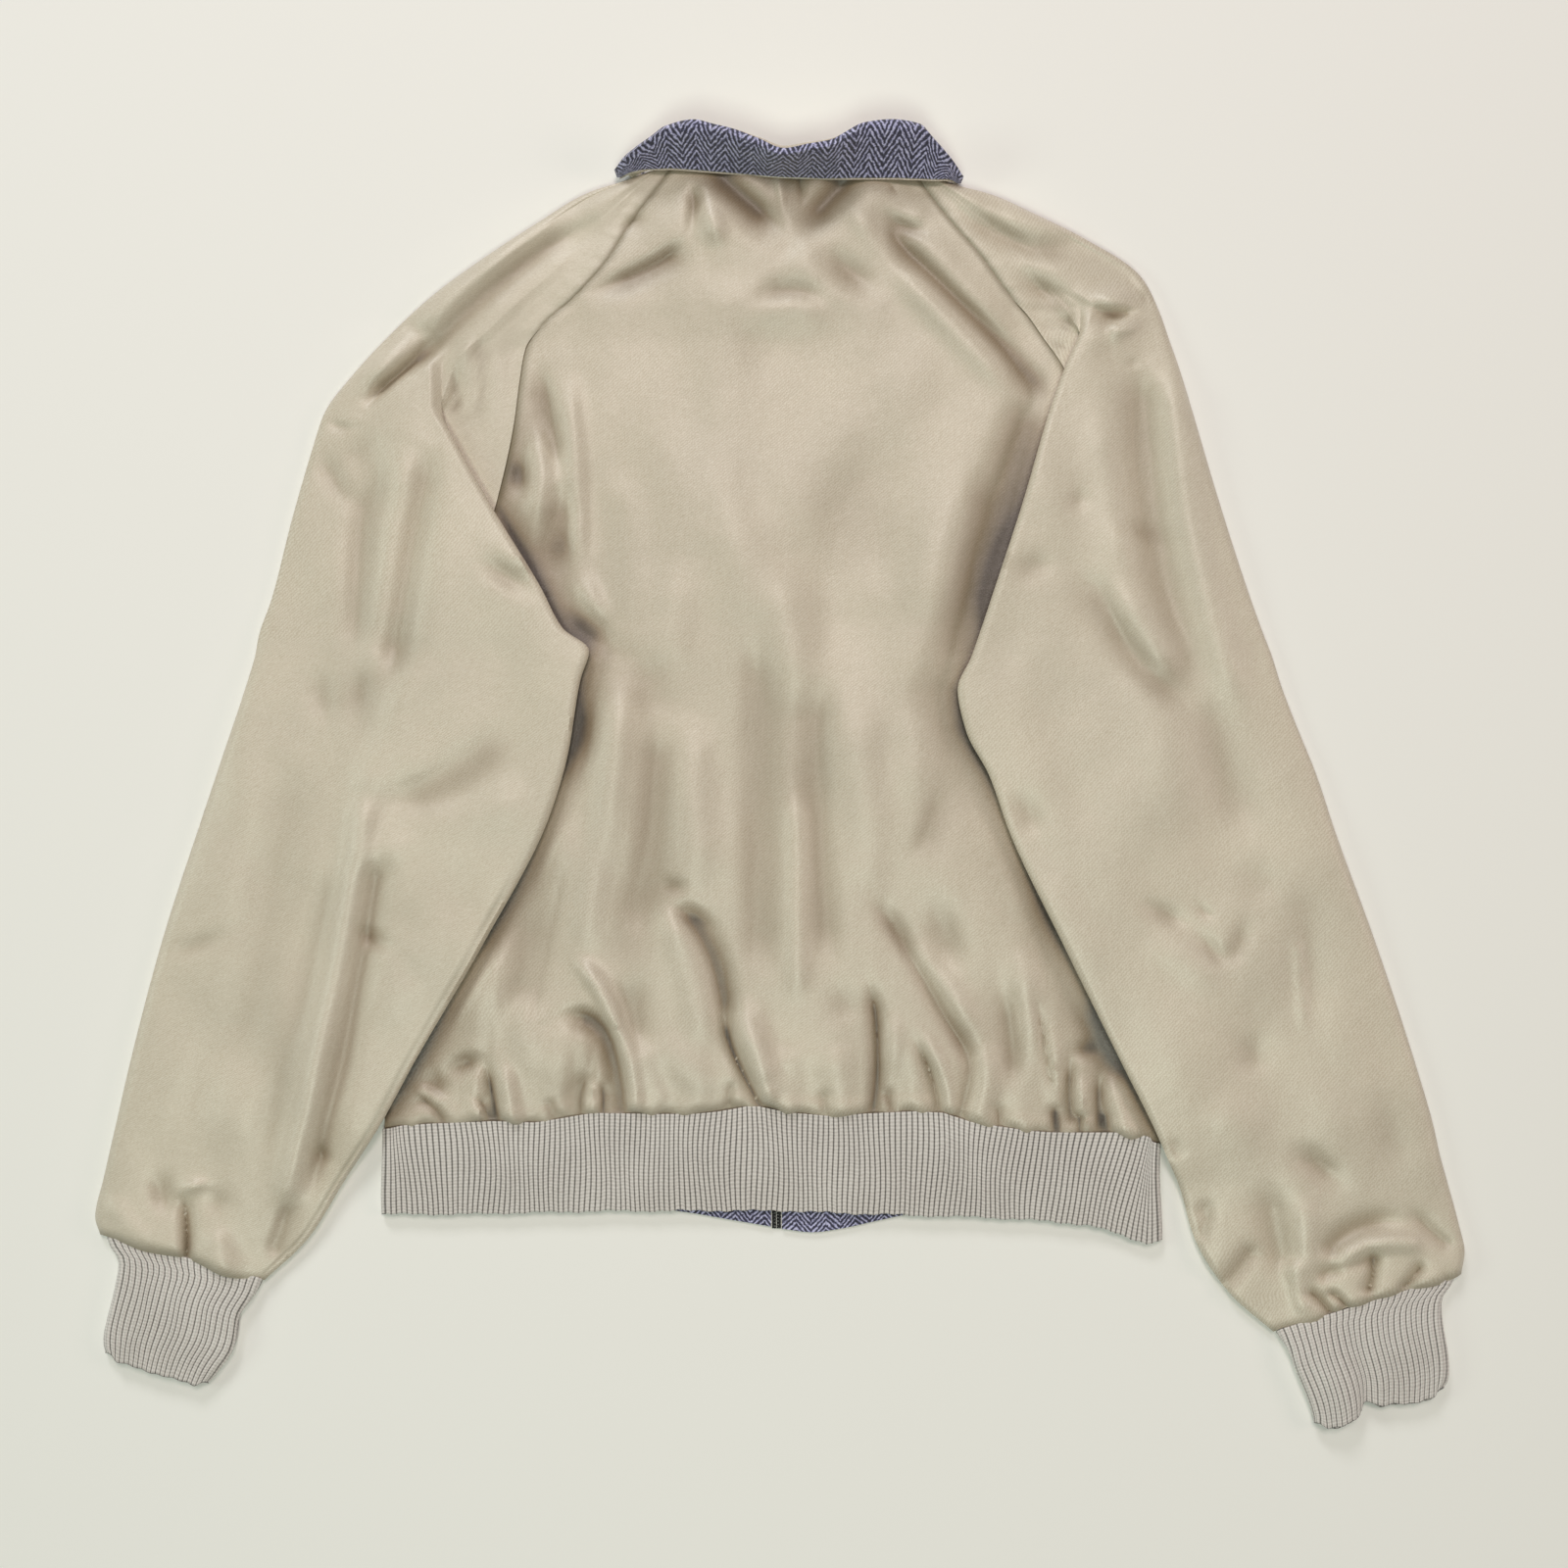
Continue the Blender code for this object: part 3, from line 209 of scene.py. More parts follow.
# The collar, from the left front end round the back to the right one: its neck seam, folded ridge and free edge.
COLLAR = rows_of(Collar,
    (-6.5, 302, 4.8, -6.5, 323, 3.6, -6.5, 307, 2.4), (-38, 307, 4.8, -34, 328, 3.6, -38, 317, 2.4),
    (-66, 323, 4.8, -58, 343, 3.6, -61, 334, 2.4), (-79.5, 345, 4.8, -74, 360, 3.7, -77, 352, 2.4),
    (-84.5, 357, 4.6, -87, 369.5, 4.2, -85, 364.2, 2.6), (-87, 363.5, 4.6, -94.5, 373, 6.4, -92.2, 370.8, 4.8),
    (-90, 366.8, 4.8, -98, 371, 9, -96.5, 367.5, 6.2), (-83, 369.8, 9.9, -95, 376, 17, -91, 371, 13.4),
    (-74, 373.4, 9.9, -86, 384, 26, -82, 373, 14), (-62, 377.6, 9.9, -69, 396, 34, -67, 373.5, 14.2),
    (-48, 378.7, 9.9, -52, 400, 37, -52, 372.5, 14.6), (-26, 380, 9.9, -30, 395, 38, -32, 371, 13.6),
    (3, 380.6, 9.9, 3, 383, 38, 2, 368.5, 12.8), (30, 380, 9.9, 32, 388, 38, 30, 367.5, 13.4),
    (50, 379, 9.9, 52, 398, 37, 50, 367.5, 14.6), (66, 377.8, 9.9, 69, 400, 36, 68, 367.5, 14.6),
    (79, 375.6, 9.9, 86, 397, 32, 84, 367, 14.2), (88, 371.6, 9.9, 98, 384, 24, 95, 366.5, 14.2),
    (96.5, 366.6, 9.9, 106, 374, 16, 103, 366.5, 13.2), (102.4, 364.2, 4.8, 110, 367, 9, 108.5, 363.8, 6.2),
    (99.5, 361, 4.6, 106.5, 369.5, 6.4, 104.4, 367.6, 4.8), (97, 354.5, 4.6, 99.5, 367, 4.2, 97.6, 362, 2.6),
    (92.5, 344, 4.8, 87, 358, 3.7, 90, 350, 2.4), (78, 323, 4.8, 70, 343, 3.6, 73, 334, 2.4),
    (48, 307, 4.8, 44, 328, 3.6, 48, 317, 2.4), (3.3, 302, 4.8, 3.3, 323, 3.6, 3.3, 307, 2.4),
)
COLLAR_STEP = 19.0  # stations further apart than this get one more between them
COLLAR_ROLL = 5.0  # distance between the stand and the fall where the ridge stands up
STAND_ROWS = 3  # the top collar starts inside the ridge, above this many rows of the stand

# Each cuff: the two ends of its free edge, and the height of its upper layer at the inner edge, middle and outer.
LEFT_CUFF = Cuff((-352, -375), (-412, -357), (6.6, 7.4, 6.6))
RIGHT_CUFF = Cuff((337, -398), (407, -379), (7.6, 6.8, 6.6))
CUFF_INSETS = (3.0, 6.0)  # a cuff starts this far inside the sleeve's end, at its inner and outer edge
CUFF_SEAM_Z = 5.6  # height of a cuff's upper layer where it is sewn on
CUFF_STRETCH = 1.15  # a cuff's ribs lie closer at its free edge than the band's, by this share

# The creases of each piece: a curve from start to end pulled towards bend, its half width, how far it stands
# above the cloth (or sinks below it), and how much wider it is on its left side (or, below zero, on its right).
BACK_CREASES = rows_of(Crease,
    (-57, 364, -47, 355, -55, 328, 5, -1.6), (-55, 328, -69, 312, -122, 293, 7, -1.8, 0.2),
    (-46, 355, -40, 340, -37, 322, 7, 1.8), (-55, 382, -21, 355, 6, 328, 9, -2.7, -0.2),
    (57, 382, 31, 352, 7, 328, 9, -2.5), (3, 391, 5, 362, 7, 337, 16, -2.5), (-4, 379, 1, 358, 3, 346, 3, 1),
    (12, 379, 14, 358, 13, 348, 3, -0.9), (3, 324, 16, 318, 45, 295, 14, 1.2),
    (20, 325, 39, 310, 67, 292, 9, -1.4), (38, 355, 57, 334, 81, 310, 8, 1.2),
    (51, 346, 117, 288, 172, 223, 7.5, -2, -0.1), (66, 318, 105, 277, 147, 235, 9, 1.2),
    (67, 363, 70, 360, 72, 357, 2.5, -1.2), (61, 350, 76, 329, 98, 336, 5, -1.4),
    (78, 350, 86, 346, 90, 341, 8, 1.1), (-23, 287, 10, 306, 35, 287, 7, -1.3, 0.2),
    (-27, 274, 9, 292, 45, 274, 16, 1), (-108, 344, -123, 334, -141, 314, 8, -1.2),
    (-99, 334, -87, 340, -79, 344, 4, -0.9), (-154, 257, -134, 217, -133, 178, 8, -1.8, -0.3),
    (-133, 187, -129, 151, -136, 115, 9, -2.4, -0.3), (-164, 202, -157, 184, -158, 167, 7, -1.6),
    (-151, 220, -141, 187, -151, 151, 7, 1.2), (-131, 252, -124, 187, -123, 125, 10, 1.4, -0.3),
    (-123, 125, -117, 108, -106, 91, 7, 1.4), (-139, 112, -117, 85, -99, 77, 8, -2.2),
    (-84, 91, -79, 55, -76, 19, 16, -1.3), (-74, 39, -73, -23, -87, -106, 13, -1.7, 0.2),
    (-95, 61, -104, -17, -124, -119, 10, 1.4), (-50, 43, -55, -23, -44, -73, 13, 1.3),
    (-10, 91, -16, -12, -10, -132, 13, -1.5, 0.2), (10, -5, 14, -71, 10, -143, 7, 1.2),
    (2, 139, 7, 91, 7, 31, 16, 1.2), (25, 67, 19, -25, 32, -125, 12, -1.5, -0.2),
    (32, -125, 41, -137, 46, -155, 10, -0.9), (52, 55, 51, -23, 59, -86, 15, 1.2),
    (101, 7, 96, -35, 78, -59, 10, -1, 0.3), (96, -65, 101, -101, 114, -125, 10, -1.1),
    (84, 55, 87, 19, 78, -29, 13, 0.9), (159, 236, 135, 181, 124, 73, 11, -2),
    (129, 193, 114, 127, 106, 55, 9, -1), (114, 193, 99, 139, 81, 91, 16, 1),
    (-33, 217, -27, 163, -36, 103, 20, 0.9), (51, 217, 45, 163, 51, 103, 20, -0.8),
    (-65, 139, -69, 103, -63, 61, 14, 0.9), (57, -74, 92, -125, 122, -185, 6, -1.7, 0.2),
    (112, -163, 124, -182, 110, -208, 6, -1.3), (72, -95, 99, -125, 123, -161, 8, 1.4),
    (123, -161, 130, -179, 124, -202, 8, 1.2), (136, -125, 147, -161, 140, -198, 7, -1.3),
    (147, -101, 155, -137, 154, -179, 9, 1.2), (55, -125, 65, -164, 57, -209, 4, -2.7),
    (66, -143, 73, -161, 66, -191, 7, 1.1), (82, -160, 93, -176, 98, -204, 4, -2.1, 0.2),
    (86, -156, 100, -174, 104, -203, 5, 1.7), (67, -195, 68, -200, 70, -208, 2.5, -1.8),
    (133, -199, 134, -206, 135, -214, 3, -1.8), (155, -130, 163, -167, 170, -202, 3, -1.3, 0.3),
    (168, -199, 169, -208, 170, -218, 2.8, -4.2), (163, -149, 170, -179, 172, -203, 5, 1.1),
    (178, -168, 176, -188, 179, -209, 4, -2.4), (178, -173, 187, -166, 201, -164, 5, -1.4),
    (183, -179, 186, -197, 185, -214, 4, 1.5), (196, -179, 195, -197, 196, -215, 4, -2.2),
    (184, -209, 185, -214, 185, -217, 2.2, -2), (185, -209, 184, -214, 184, -217, 2.6, -3),
    (199, -209, 200, -214, 200, -218, 2.6, -3.6), (204, -176, 208, -197, 213, -215, 7, 1.2),
    (-24, -143, -16, -167, -6, -191, 8, 1.6), (-71, -73, -53, -116, -44, -175, 10, 1.3),
    (-65, -79, -50, -88, -34, -95, 4, -1), (-76, -68, -64, -66, -52, -71, 5, -1),
    (-87, -106, -93, -143, -84, -178, 10, -1.3), (-84, -155, -84, -179, -75, -196, 8, 1.2),
    (-180, -173, -176, -190, -173, -210, 3, -3), (-188, -197, -182, -198, -177, -210, 3, -2.2),
    (-185, -200, -184, -205, -183, -209, 3, 1.6), (-170, -173, -166, -191, -164, -209, 5, 1.5),
    (-217, -199, -211, -202, -205, -211, 3.5, -2), (-218, -179, -209, -191, -200, -197, 7, -1.6),
    (-182, -173, -193, -176, -206, -184, 6, -1.4), (-222, -190, -218, -194, -210, -199, 4, 1.2),
    (-142, -196, -140, -202, -137, -210, 4, -1.5), (-117, -178, -121, -192, -122, -208, 4, -1.8),
    (-113, -184, -115, -194, -115, -205, 3.5, 1.5), (-109, -186, -108, -194, -108, -205, 2.4, -2.4),
    (-27, -185, -30, -192, -31, -202, 4, -1.5), (-10, -180, -2, -191, 1, -202, 5, -1),
    (3, -161, 7, -179, 7, -200, 9, 1.1), (26, -190, 28, -198, 29, -205, 4, -1.4),
    (33, -161, 37, -182, 40, -202, 10, 1.1), (-165, -89, -177, -125, -195, -161, 14, 1.4),
    (-132, 19, -126, -23, -141, -77, 12, 1.1), (-123, 55, -122, 31, -127, 1, 10, -1.5),
    (-141, -65, -153, -113, -165, -161, 12, -1.1), (-153, -125, -159, -155, -153, -191, 10, 1.2),
    (159, -35, 177, -77, 195, -125, 12, -1.3), (129, -5, 147, -53, 159, -101, 13, 1),
    (181, -125, 195, -161, 213, -197, 9, -1.2), (-127, -110, -93, -143, -90, -206, 5, 2.3, 0.2),
    (-137, -149, -98, -134, -93, -208, 7.5, -2.5, -0.35), (-117, -155, -118, -176, -125, -194, 11, -1),
    (-69, -77, -31, -98, -32, -167, 6.5, -2.3, 0.2), (-35, -143, -32, -172, -6, -209, 3.2, -3.6, 0.2),
    (-26, -131, -16, -167, -2, -203, 9, 1.6), (-131, -52, -140, -101, -156, -170, 2.2, -0.3),
    (-81, -41, -93, -101, -100, -131, 15, -1.2), (-81, -149, -63, -185, -33, -192, 12, 0.9),
    (-195, -182, -189, -170, -178, -179, 5, -1),
)
LEFT_CREASES = rows_of(Crease,
    (-253, -8, -269, -116, -307, -275, 7, 1.9, 0.1), (-243, -41, -257, -143, -289, -263, 7.5, -1.6),
    (-275, -53, -286, -125, -323, -251, 11, -1), (-256, 223, -231, 251, -202, 265, 5, -3.2, 0.35),
    (-261, 228, -239, 258, -219, 277, 10, 2.6, -0.2), (-225, 271, -200, 301, -123, 352, 9, 1.8),
    (-220, 248, -187, 295, -117, 341, 8, -1.9, 0.2), (-200, 254, -197, 232, -198, 205, 5, -1.5),
    (-204, 252, -206, 235, -200, 217, 5, 0.8), (-190, 268, -189, 247, -191, 205, 6, 0.9),
    (-184, 275, -181, 244, -184, 199, 6, -0.9), (-174, 265, -172, 235, -177, 193, 7, 0.8),
    (-277, 219, -272, 211, -254, 214, 3, -0.7), (-256, 208, -267, 193, -268, 175, 16, -0.6),
    (-284, 205, -275, 181, -257, 160, 7, -0.9), (-247, 214, -254, 198, -266, 182, 9, -0.6),
    (-245, 202, -241, 181, -243, 151, 8, -0.7), (-250, 193, -257, 133, -257, 61, 12, -1.9, 0.2),
    (-226, 205, -239, 139, -251, 43, 11, 1.9), (-211, 205, -229, 139, -238, 43, 12, -2.1, -0.3),
    (-235, 103, -236, 61, -254, -5, 12, -1.2), (-201, 163, -204, 121, -213, 67, 18, 1),
    (-185, 139, -170, 120, -143, 113, 8, -1.3), (-177, 145, -159, 131, -140, 122, 9, 1),
    (-249, 76, -257, 55, -262, 25, 8, -1.1), (-284, 71, -279, 49, -274, 26, 8, -0.8),
    (-229, 85, -236, 31, -261, -29, 11, 1.3), (-159, 34, -189, -12, -249, -16, 11, -1.9),
    (-150, -5, -177, -23, -219, -35, 14, 1), (-219, -35, -243, -46, -264, -61, 10, 1),
    (-177, -53, -213, -86, -243, -113, 18, -1.2), (-260, -92, -249, -98, -235, -109, 5, -1.2),
    (-235, -109, -225, -119, -220, -131, 8, -0.6), (-377, -109, -357, -106, -333, -94, 6, -0.9),
    (-320, 91, -333, -5, -354, -101, 20, 1.2), (-297, 19, -314, -89, -336, -191, 18, -1.2),
    (-366, -149, -375, -197, -387, -239, 16, 0.9), (-333, -167, -340, -203, -344, -239, 14, 0.9),
    (-380, -238, -379, -254, -371, -275, 8, -1.4), (-365, -254, -362, -269, -362, -295, 3.2, -3),
    (-369, -259, -363, -248, -346, -250, 3.5, 1.6), (-354, -258, -343, -258, -333, -269, 8, -1.2),
    (-350, -275, -344, -287, -336, -305, 8, 1.3), (-299, -252, -301, -269, -307, -288, 6, -1.5),
    (-287, -226, -279, -230, -271, -241, 5, -1), (-402, -275, -393, -288, -375, -295, 5, -1),
    (-411, -254, -406, -269, -393, -282, 7, 1), (-195, -53, -225, -113, -249, -161, 14, 0.8),
)
RIGHT_CREASES = rows_of(Crease,
    (108, 352, 141, 318, 193, 320, 9, -1.6, 0.2), (123, 352, 153, 338, 189, 334, 9, 1.1),
    (147, 314, 161, 290, 190, 284, 7, -1.6), (188, 290, 203, 277, 221, 287, 4.5, -3, -0.3),
    (190, 298, 205, 288, 219, 295, 6, 1.4), (198, 274, 211, 272, 223, 282, 5, 1.6),
    (221, 287, 226, 292, 229, 298, 5, -1.2), (178, 287, 179, 277, 183, 265, 5, -1.8),
    (154, 292, 157, 287, 159, 282, 2, -0.8), (158, 286, 161, 281, 164, 276, 2, 0.8),
    (163, 282, 165, 276, 167, 271, 2, -1), (166, 275, 170, 269, 173, 264, 2.2, 0.8),
    (169, 268, 172, 263, 176, 258, 2, -0.9), (188, 268, 200, 252, 213, 262, 12, -0.9),
    (215, 257, 216, 253, 217, 248, 5, -0.8), (223, 256, 214, 163, 259, 37, 12, -2.1),
    (200, 235, 196, 175, 219, 115, 13, 1.2), (243, 253, 243, 163, 286, 37, 10, 1.8),
    (209, 160, 222, 148, 241, 139, 6, -1), (184, 127, 201, 82, 258, 34, 9, -1.6),
    (205, 124, 222, 91, 261, 55, 11, 1.1), (175, 160, 183, 168, 191, 177, 6, -0.7),
    (139, 121, 156, 130, 172, 131, 8, -0.8), (263, 61, 267, 7, 293, -48, 14, -1.4),
    (293, -48, 297, -65, 295, -83, 12, -0.8), (231, 55, 237, 1, 252, -47, 18, 0.9),
    (220, -77, 236, -83, 253, -95, 6, -1.2), (253, -95, 266, -107, 275, -121, 6, -1.2),
    (275, -121, 281, -104, 289, -83, 6, -1.1), (225, -92, 249, -113, 273, -132, 12, 1.2),
    (255, -77, 261, -83, 265, -89, 2.2, -0.9), (316, -92, 320, -125, 321, -161, 3, 0.9),
    (320, -53, 323, -101, 327, -161, 12, -0.7), (146, -5, 153, -23, 158, -41, 8, -1),
    (159, -53, 177, -95, 195, -131, 14, 0.8), (293, -152, 289, -173, 289, -188, 9, -1),
    (327, -173, 339, -209, 351, -233, 14, 0.8), (261, -197, 279, -215, 303, -221, 14, 0.9),
    (242, -227, 243, -232, 245, -235, 5, -1.6), (307, -228, 333, -233, 347, -259, 9, -1.6),
    (303, -245, 299, -269, 307, -293, 10, -1.5), (321, -251, 325, -275, 321, -299, 8, 1.3),
    (386, -264, 394, -275, 408, -286, 4.5, -1.7), (338, -288, 353, -269, 391, -272, 7, -1.8),
    (346, -299, 363, -282, 387, -286, 6, 1.5), (364, -296, 364, -305, 361, -314, 3, -2.8),
    (288, -293, 280, -304, 272, -312, 6, -1.6), (268, -260, 261, -265, 253, -270, 4, -1),
    (265, -265, 262, -272, 259, -281, 3, -1), (326, -317, 333, -321, 337, -329, 3, -2.8),
    (339, -317, 344, -320, 347, -325, 2.8, -2.2), (392, -301, 389, -305, 383, -312, 3, -2.2),
    (409, -305, 406, -308, 403, -312, 2.6, -1.6), (334, -305, 346, -301, 362, -294, 5, -1.6),
    (315, -302, 319, -312, 321, -323, 5, 1.2), (364, -185, 375, -221, 387, -245, 12, -0.8),
)

# --- What the scene adds to the shape ---
SHOULDER_FOOT, SHOULDER_FADE = 276.0, 18.0  # above this a sleeve lies beside the back, and below it over the back
CREASE_SCALE = 3.2
BACK_BILLOW, BILLOW_RUN = 3.6, 36.0  # how far the back stands off the fronts between its seams, and over which run
SEWN_REACH = 14.0  # a crease that ends this near a sewn edge runs into it at full strength
BODY_REACH, CUFF_SEAM = 243, -290.0  # cloth further out than this is a sleeve's, which reaches down to this y
UNEVEN = 3.0  # how strong the slight unevenness is
SEAM_DIP, SEAM_ROLL = 1.0, 2.8  # how far the cloth dips into a seam, and over which run
SEWN_DIP = 1.6  # how many times as far it dips where ribs are sewn on
ALLOWANCE = 0.5  # the raised seam allowance beside the raglan seam
PUCKER = 0.22
HEM_BILLOW, CUFF_BILLOW = 2.2, 1.6  # how far the cloth stands over the rib band, and over the cuffs
BACK_FLOOR, SOFT_BEND = 3.4, 0.9  # the back's middle surface stays above this, with a bend this soft
SCALLOP = 2.6  # how far the cloth's sewn end hangs over the rib band, at most
WAIST = 8.0  # how far a cuff's outer side draws in below its seam
SLEEVE_PUFF = 2.2  # how far a sleeve's upper layer stands over the height that its solid has
OVER_LAYER = 2.2  # it stays this far over its under layer
TIGHT_FOLD = 3.0  # a narrow fold this high or deep, before the scale, has its full painted shade in its hollow, or painted highlight on its ridge
COLLAR_SHADE, COLLAR_SHOWN = 3.5, 12  # its shade's run, and the height of the free edge over the back
LIP, LIP_TOP = 5.5, -30.0  # the left sleeve's underarm seam lies this far in from its inner edge, below this y
SLEEVE_SHADE_RUN = 6.5  # painted shade: the cloth is darker over about this run beside a sleeve that lies on it
SHARP_BELOW, SHARP_POWER = 4.6, 1.35  # a crease narrower than this comes to an edge
SHORT_CREASE = 4.5  # a crease shorter than this many half widths is lower
WIDE_CREASE = 7.5  # and one wider than this has less painted shading
CREASE_REACH = 3.2  # nothing is left of a crease beyond this many half widths
END_FADE, END_FADE_WIDTHS, MOST_FADE = 14, 1.6, 0.45  # run over which its ends fade, and its most share
CURVE_POINTS = 9
SHADE_TOP, SHADE_FADE = 240, 70  # the shade beside the sleeves starts below this y, over this run
SEWN_LINE = 3  # the darker line beside a sewn edge has this half width
LEAST_LEAN = 0.7  # a sheet's two faces stay no further apart than its thickness over this, at a sharp bend
RIB_SHOWN = 0.75  # height of a rib above its valleys
RIB_COLUMNS, BAND_ROWS, CUFF_FINE_ROWS = 6, 16, 16
TOOTH_PITCH, TOOTH_SIZE = 2.0, (1.44, 0.9, 0.9)
TAPE, TAPE_Z, TOOTH_Z = 0.9, 0.75, 1.75  # the tape's thickness and the heights of its middle and of the teeth's
PHOTO_WIDTH = 960.0  # of the table at the named height
WORLD_LIGHT = 0.08
FLOOR_SIZE = 6.0
SLEEVE_HANG = {  # how far a sleeve's end hangs over its cuff, at which shares of its width, and over which reach
    LEFT: ((5.5, 0.2, 0.17), (3.2, 0.72, 0.17)),
    RIGHT: ((3.2, 0.88, 0.12), (1.8, 0.2, 0.07)),
}
# How far each of a sleeve's points across takes part in its own creases, from its tuck over the top to its
# underside: above the armpit, and below it.
OWN_ABOVE = (*[0] * 8, 0.5, 0.9, *[1] * 6, 0.9, 0.6, 0.2)
OWN_BELOW = (*[0] * 7, 0.1, 0.4, 0.8, *[1] * 6, 0.9, 0.6, 0.2)
BACK_STEP = 1.9  # spacing of the back's rows of points near the hem, and of its columns
BACK_ACROSS = 1.6
SLEEVE_STEP = 2.1
SLEEVE_COLUMNS = (*[2.0] * 5, *[1.5] * 4, *[1.9] * 7, *[2.0] * 4, *[9.0] * 6)  # tuck, edge, upper, outer, under
HIDDEN_STEP = 8.0
EDGE_STEPS = (0.7, 1.5, 2.6)  # extra points beside a sewn edge, by their distance from it
LEAST_EDGE_STEP = 4.0  # closer together where the points beside the edge lie less than this from it
LIGHTS = (  # name, place, aim, width, height, watts and colour
    ("overhead", (0.1, 1.15, 2.4), (0, 0.1, 0), 0.7, 0.7, 21.5, "FFF0E9"),
    ("overhead by the hem", (-0.1, -1.25, 2.4), (0, 0.0, 0), 0.8, 0.8, 24.0, "F5FFED"),
    ("lamp above the collar", (-0.8, 2.8, 1.7), (0, 0.0, 0), 0.8, 0.8, 34.0, "FFFFFF"),
    ("window on the left", (-2.6, 0.2, 1.3), (0, 0.0, 0), 1.0, 0.7, 12.0, "F1FFF0"),
    ("lamp on the right", (2.6, 0.2, 1.3), (0, 0.0, 0), 1.0, 0.7, 9.0, "FFE6DC"),
)


def smooth(t):
    """An even rise from 0 to 1."""
    t = np.clip(t, 0.0, 1.0)
    return t * t * (3 - 2 * t)


def between(a, b, share):
    return np.asarray(a, float) * (1 - share) + np.asarray(b, float) * share


def bell(value, middle, reach):
    """1 in the middle, falling off on both sides of it over this reach."""
    return np.exp(-(((value - middle) / reach) ** 2))


def unit(vector):
    return vector / np.linalg.norm(vector)


def along(table, x, column=1):
    """A column of the table at x, which the first column holds. Its rows are joined by straight lines."""
    rows = np.array(sorted(table), float)
    return np.interp(x, rows[:, 0], rows[:, column])


def side_x(y, side):
    """Where the body folds at its side, at this height on the page."""
    return along(SIDES, y, 1 if side == LEFT else 2)


def turn(tip, way, low, high, inward=False, folded=1.0, spread=0.0):
    """Points round a fold's tip, from height low to height high. Way is the direction out along the section.

    A fold whose tip points in (inward) opens out. Where folded is 0 the cloth only rises across the spread.
    """
    angle = pi * (np.arange(TURN_POINTS) / (TURN_POINTS - 1) - 0.5)
    round_out = abs(high - low) / 2 * (1 - np.cos(angle)) * (1 if inward else -1)
    out = folded * round_out + (1 - folded) * spread * np.sin(angle)
    heights = (low + high) / 2 + (high - low) / 2 * np.sin(angle)
    return [(tip[0] + way[0] * x, tip[1] + way[1] * x, z) for x, z in zip(out, heights)]


def upper_points(left, right, low, high):
    """A sleeve's upper layer, from its inner side at height low to its outer side at height high."""
    arch = SLEEVE_ARCH * min(1.0, np.linalg.norm(right - left) / ARCH_WIDTH)
    shares = np.arange(1, UPPER_POINTS + 1) / (UPPER_POINTS + 1)
    return [(*between(left, right, s), between(low, high, smooth(s)) + arch * sin(pi * s)) for s in shares]


def over_side(x, y, side):
    """How high a sleeve's underside lies: on the floor beyond the body's side, and on the back within it."""
    beyond = (x - side_x(y, side)) * side
    on_body = (1 - smooth((beyond - SIDE_START) / SIDE_RAMP)) * smooth((y - BAND_MIDDLE) / BAND_FADE)
    return FLOOR_LAYER + (OVER_BODY - FLOOR_LAYER) * on_body


def ends_of(row):
    """A section's inner and outer edge, half the cloth's thickness in, and the way from the one to the other."""
    edge, outer = np.array(row.edge, float), np.array(row.outer, float)
    way = unit(outer - edge)
    return edge + way * CLOTH / 2, outer - way * CLOTH / 2, way


def raglan_section(row, last):
    """The points of one section above the armpit, from the back seam over the top and under to the front seam."""
    edge, outer, way = ends_of(row)
    start, finish = row.seam + way * SEAM / 2, row.front + way * SEAM / 2
    spread = min(TUCK_SPREAD, 0.4 * np.linalg.norm(row.tuck - edge))
    stepped, folded = min(1.0, row.crease), max(0.0, row.crease - 1.0)
    second = row.seam_z + between(SMOOTH_RISE, TUCK_STEP, stepped)
    third = second + between(SMOOTH_RISE, SLEEVE_DEPTH, stepped)
    rise, front_rise, second = (TUCK_RISE, ARMPIT_RISE, OVER_BODY) if last else (0.0, 0.0, second)
    outer_top = FLOOR_LAYER + OUTER_DEPTH + max(0.0, (row.seam_z - HIGH_SEAM) * OUTER_LIFT)
    points = [(*start, row.seam_z), (*between(start, row.tuck, 0.5), row.seam_z + rise / 2)]
    points += turn(row.tuck, way, row.seam_z + rise, second, False, folded, spread)
    points += turn(edge, way, second, third, True, folded, spread)
    right = outer - way * (outer_top - FLOOR_LAYER) / 2
    points += upper_points(points[-1][:2], right, third, outer_top) + turn(outer, way, outer_top, FLOOR_LAYER)
    for share in np.arange(1, UNDER_POINTS + 1) / UNDER_POINTS:
        points.append((*between(right, finish, share), FLOOR_LAYER + front_rise * smooth((share - 0.8) / 0.2)))
    return points


def tube_section(row, side):
    """The points of one closed section below the armpit, from the underarm seam in, over the top and back under."""
    edge, outer, way = ends_of(row)
    high, outer_top = over_side(*edge, side) + SLEEVE_DEPTH, FLOOR_LAYER + OUTER_DEPTH
    inner_start, outer_start = edge + way * SLEEVE_DEPTH / 2, outer - way * OUTER_DEPTH / 2
    body = side_x(edge[1], side)
    seam = max(UNDER_SEAM, side * (edge[0] - body) + LEAST_TO_SEAM)

    def below(beyond):
        """The underside's place this far beyond the body's side."""
        return between(edge, outer, (body + side * beyond - edge[0]) / (outer[0] - edge[0]))

    def laid(place):
        return (*place, over_side(*place, side))

    points = [laid(between(below(seam), inner_start, share)) for share in SEAM_TO_EDGE]
    points += turn(edge, way, high - SLEEVE_DEPTH, high, True)
    points += upper_points(inner_start, outer_start, high, outer_top) + turn(outer, way, outer_top, FLOOR_LAYER)
    points.append((*between(outer_start, below(seam + RAMP_STEPS[0]), 0.5), FLOOR_LAYER))
    return points + [laid(below(seam + step)) for step in RAMP_STEPS]


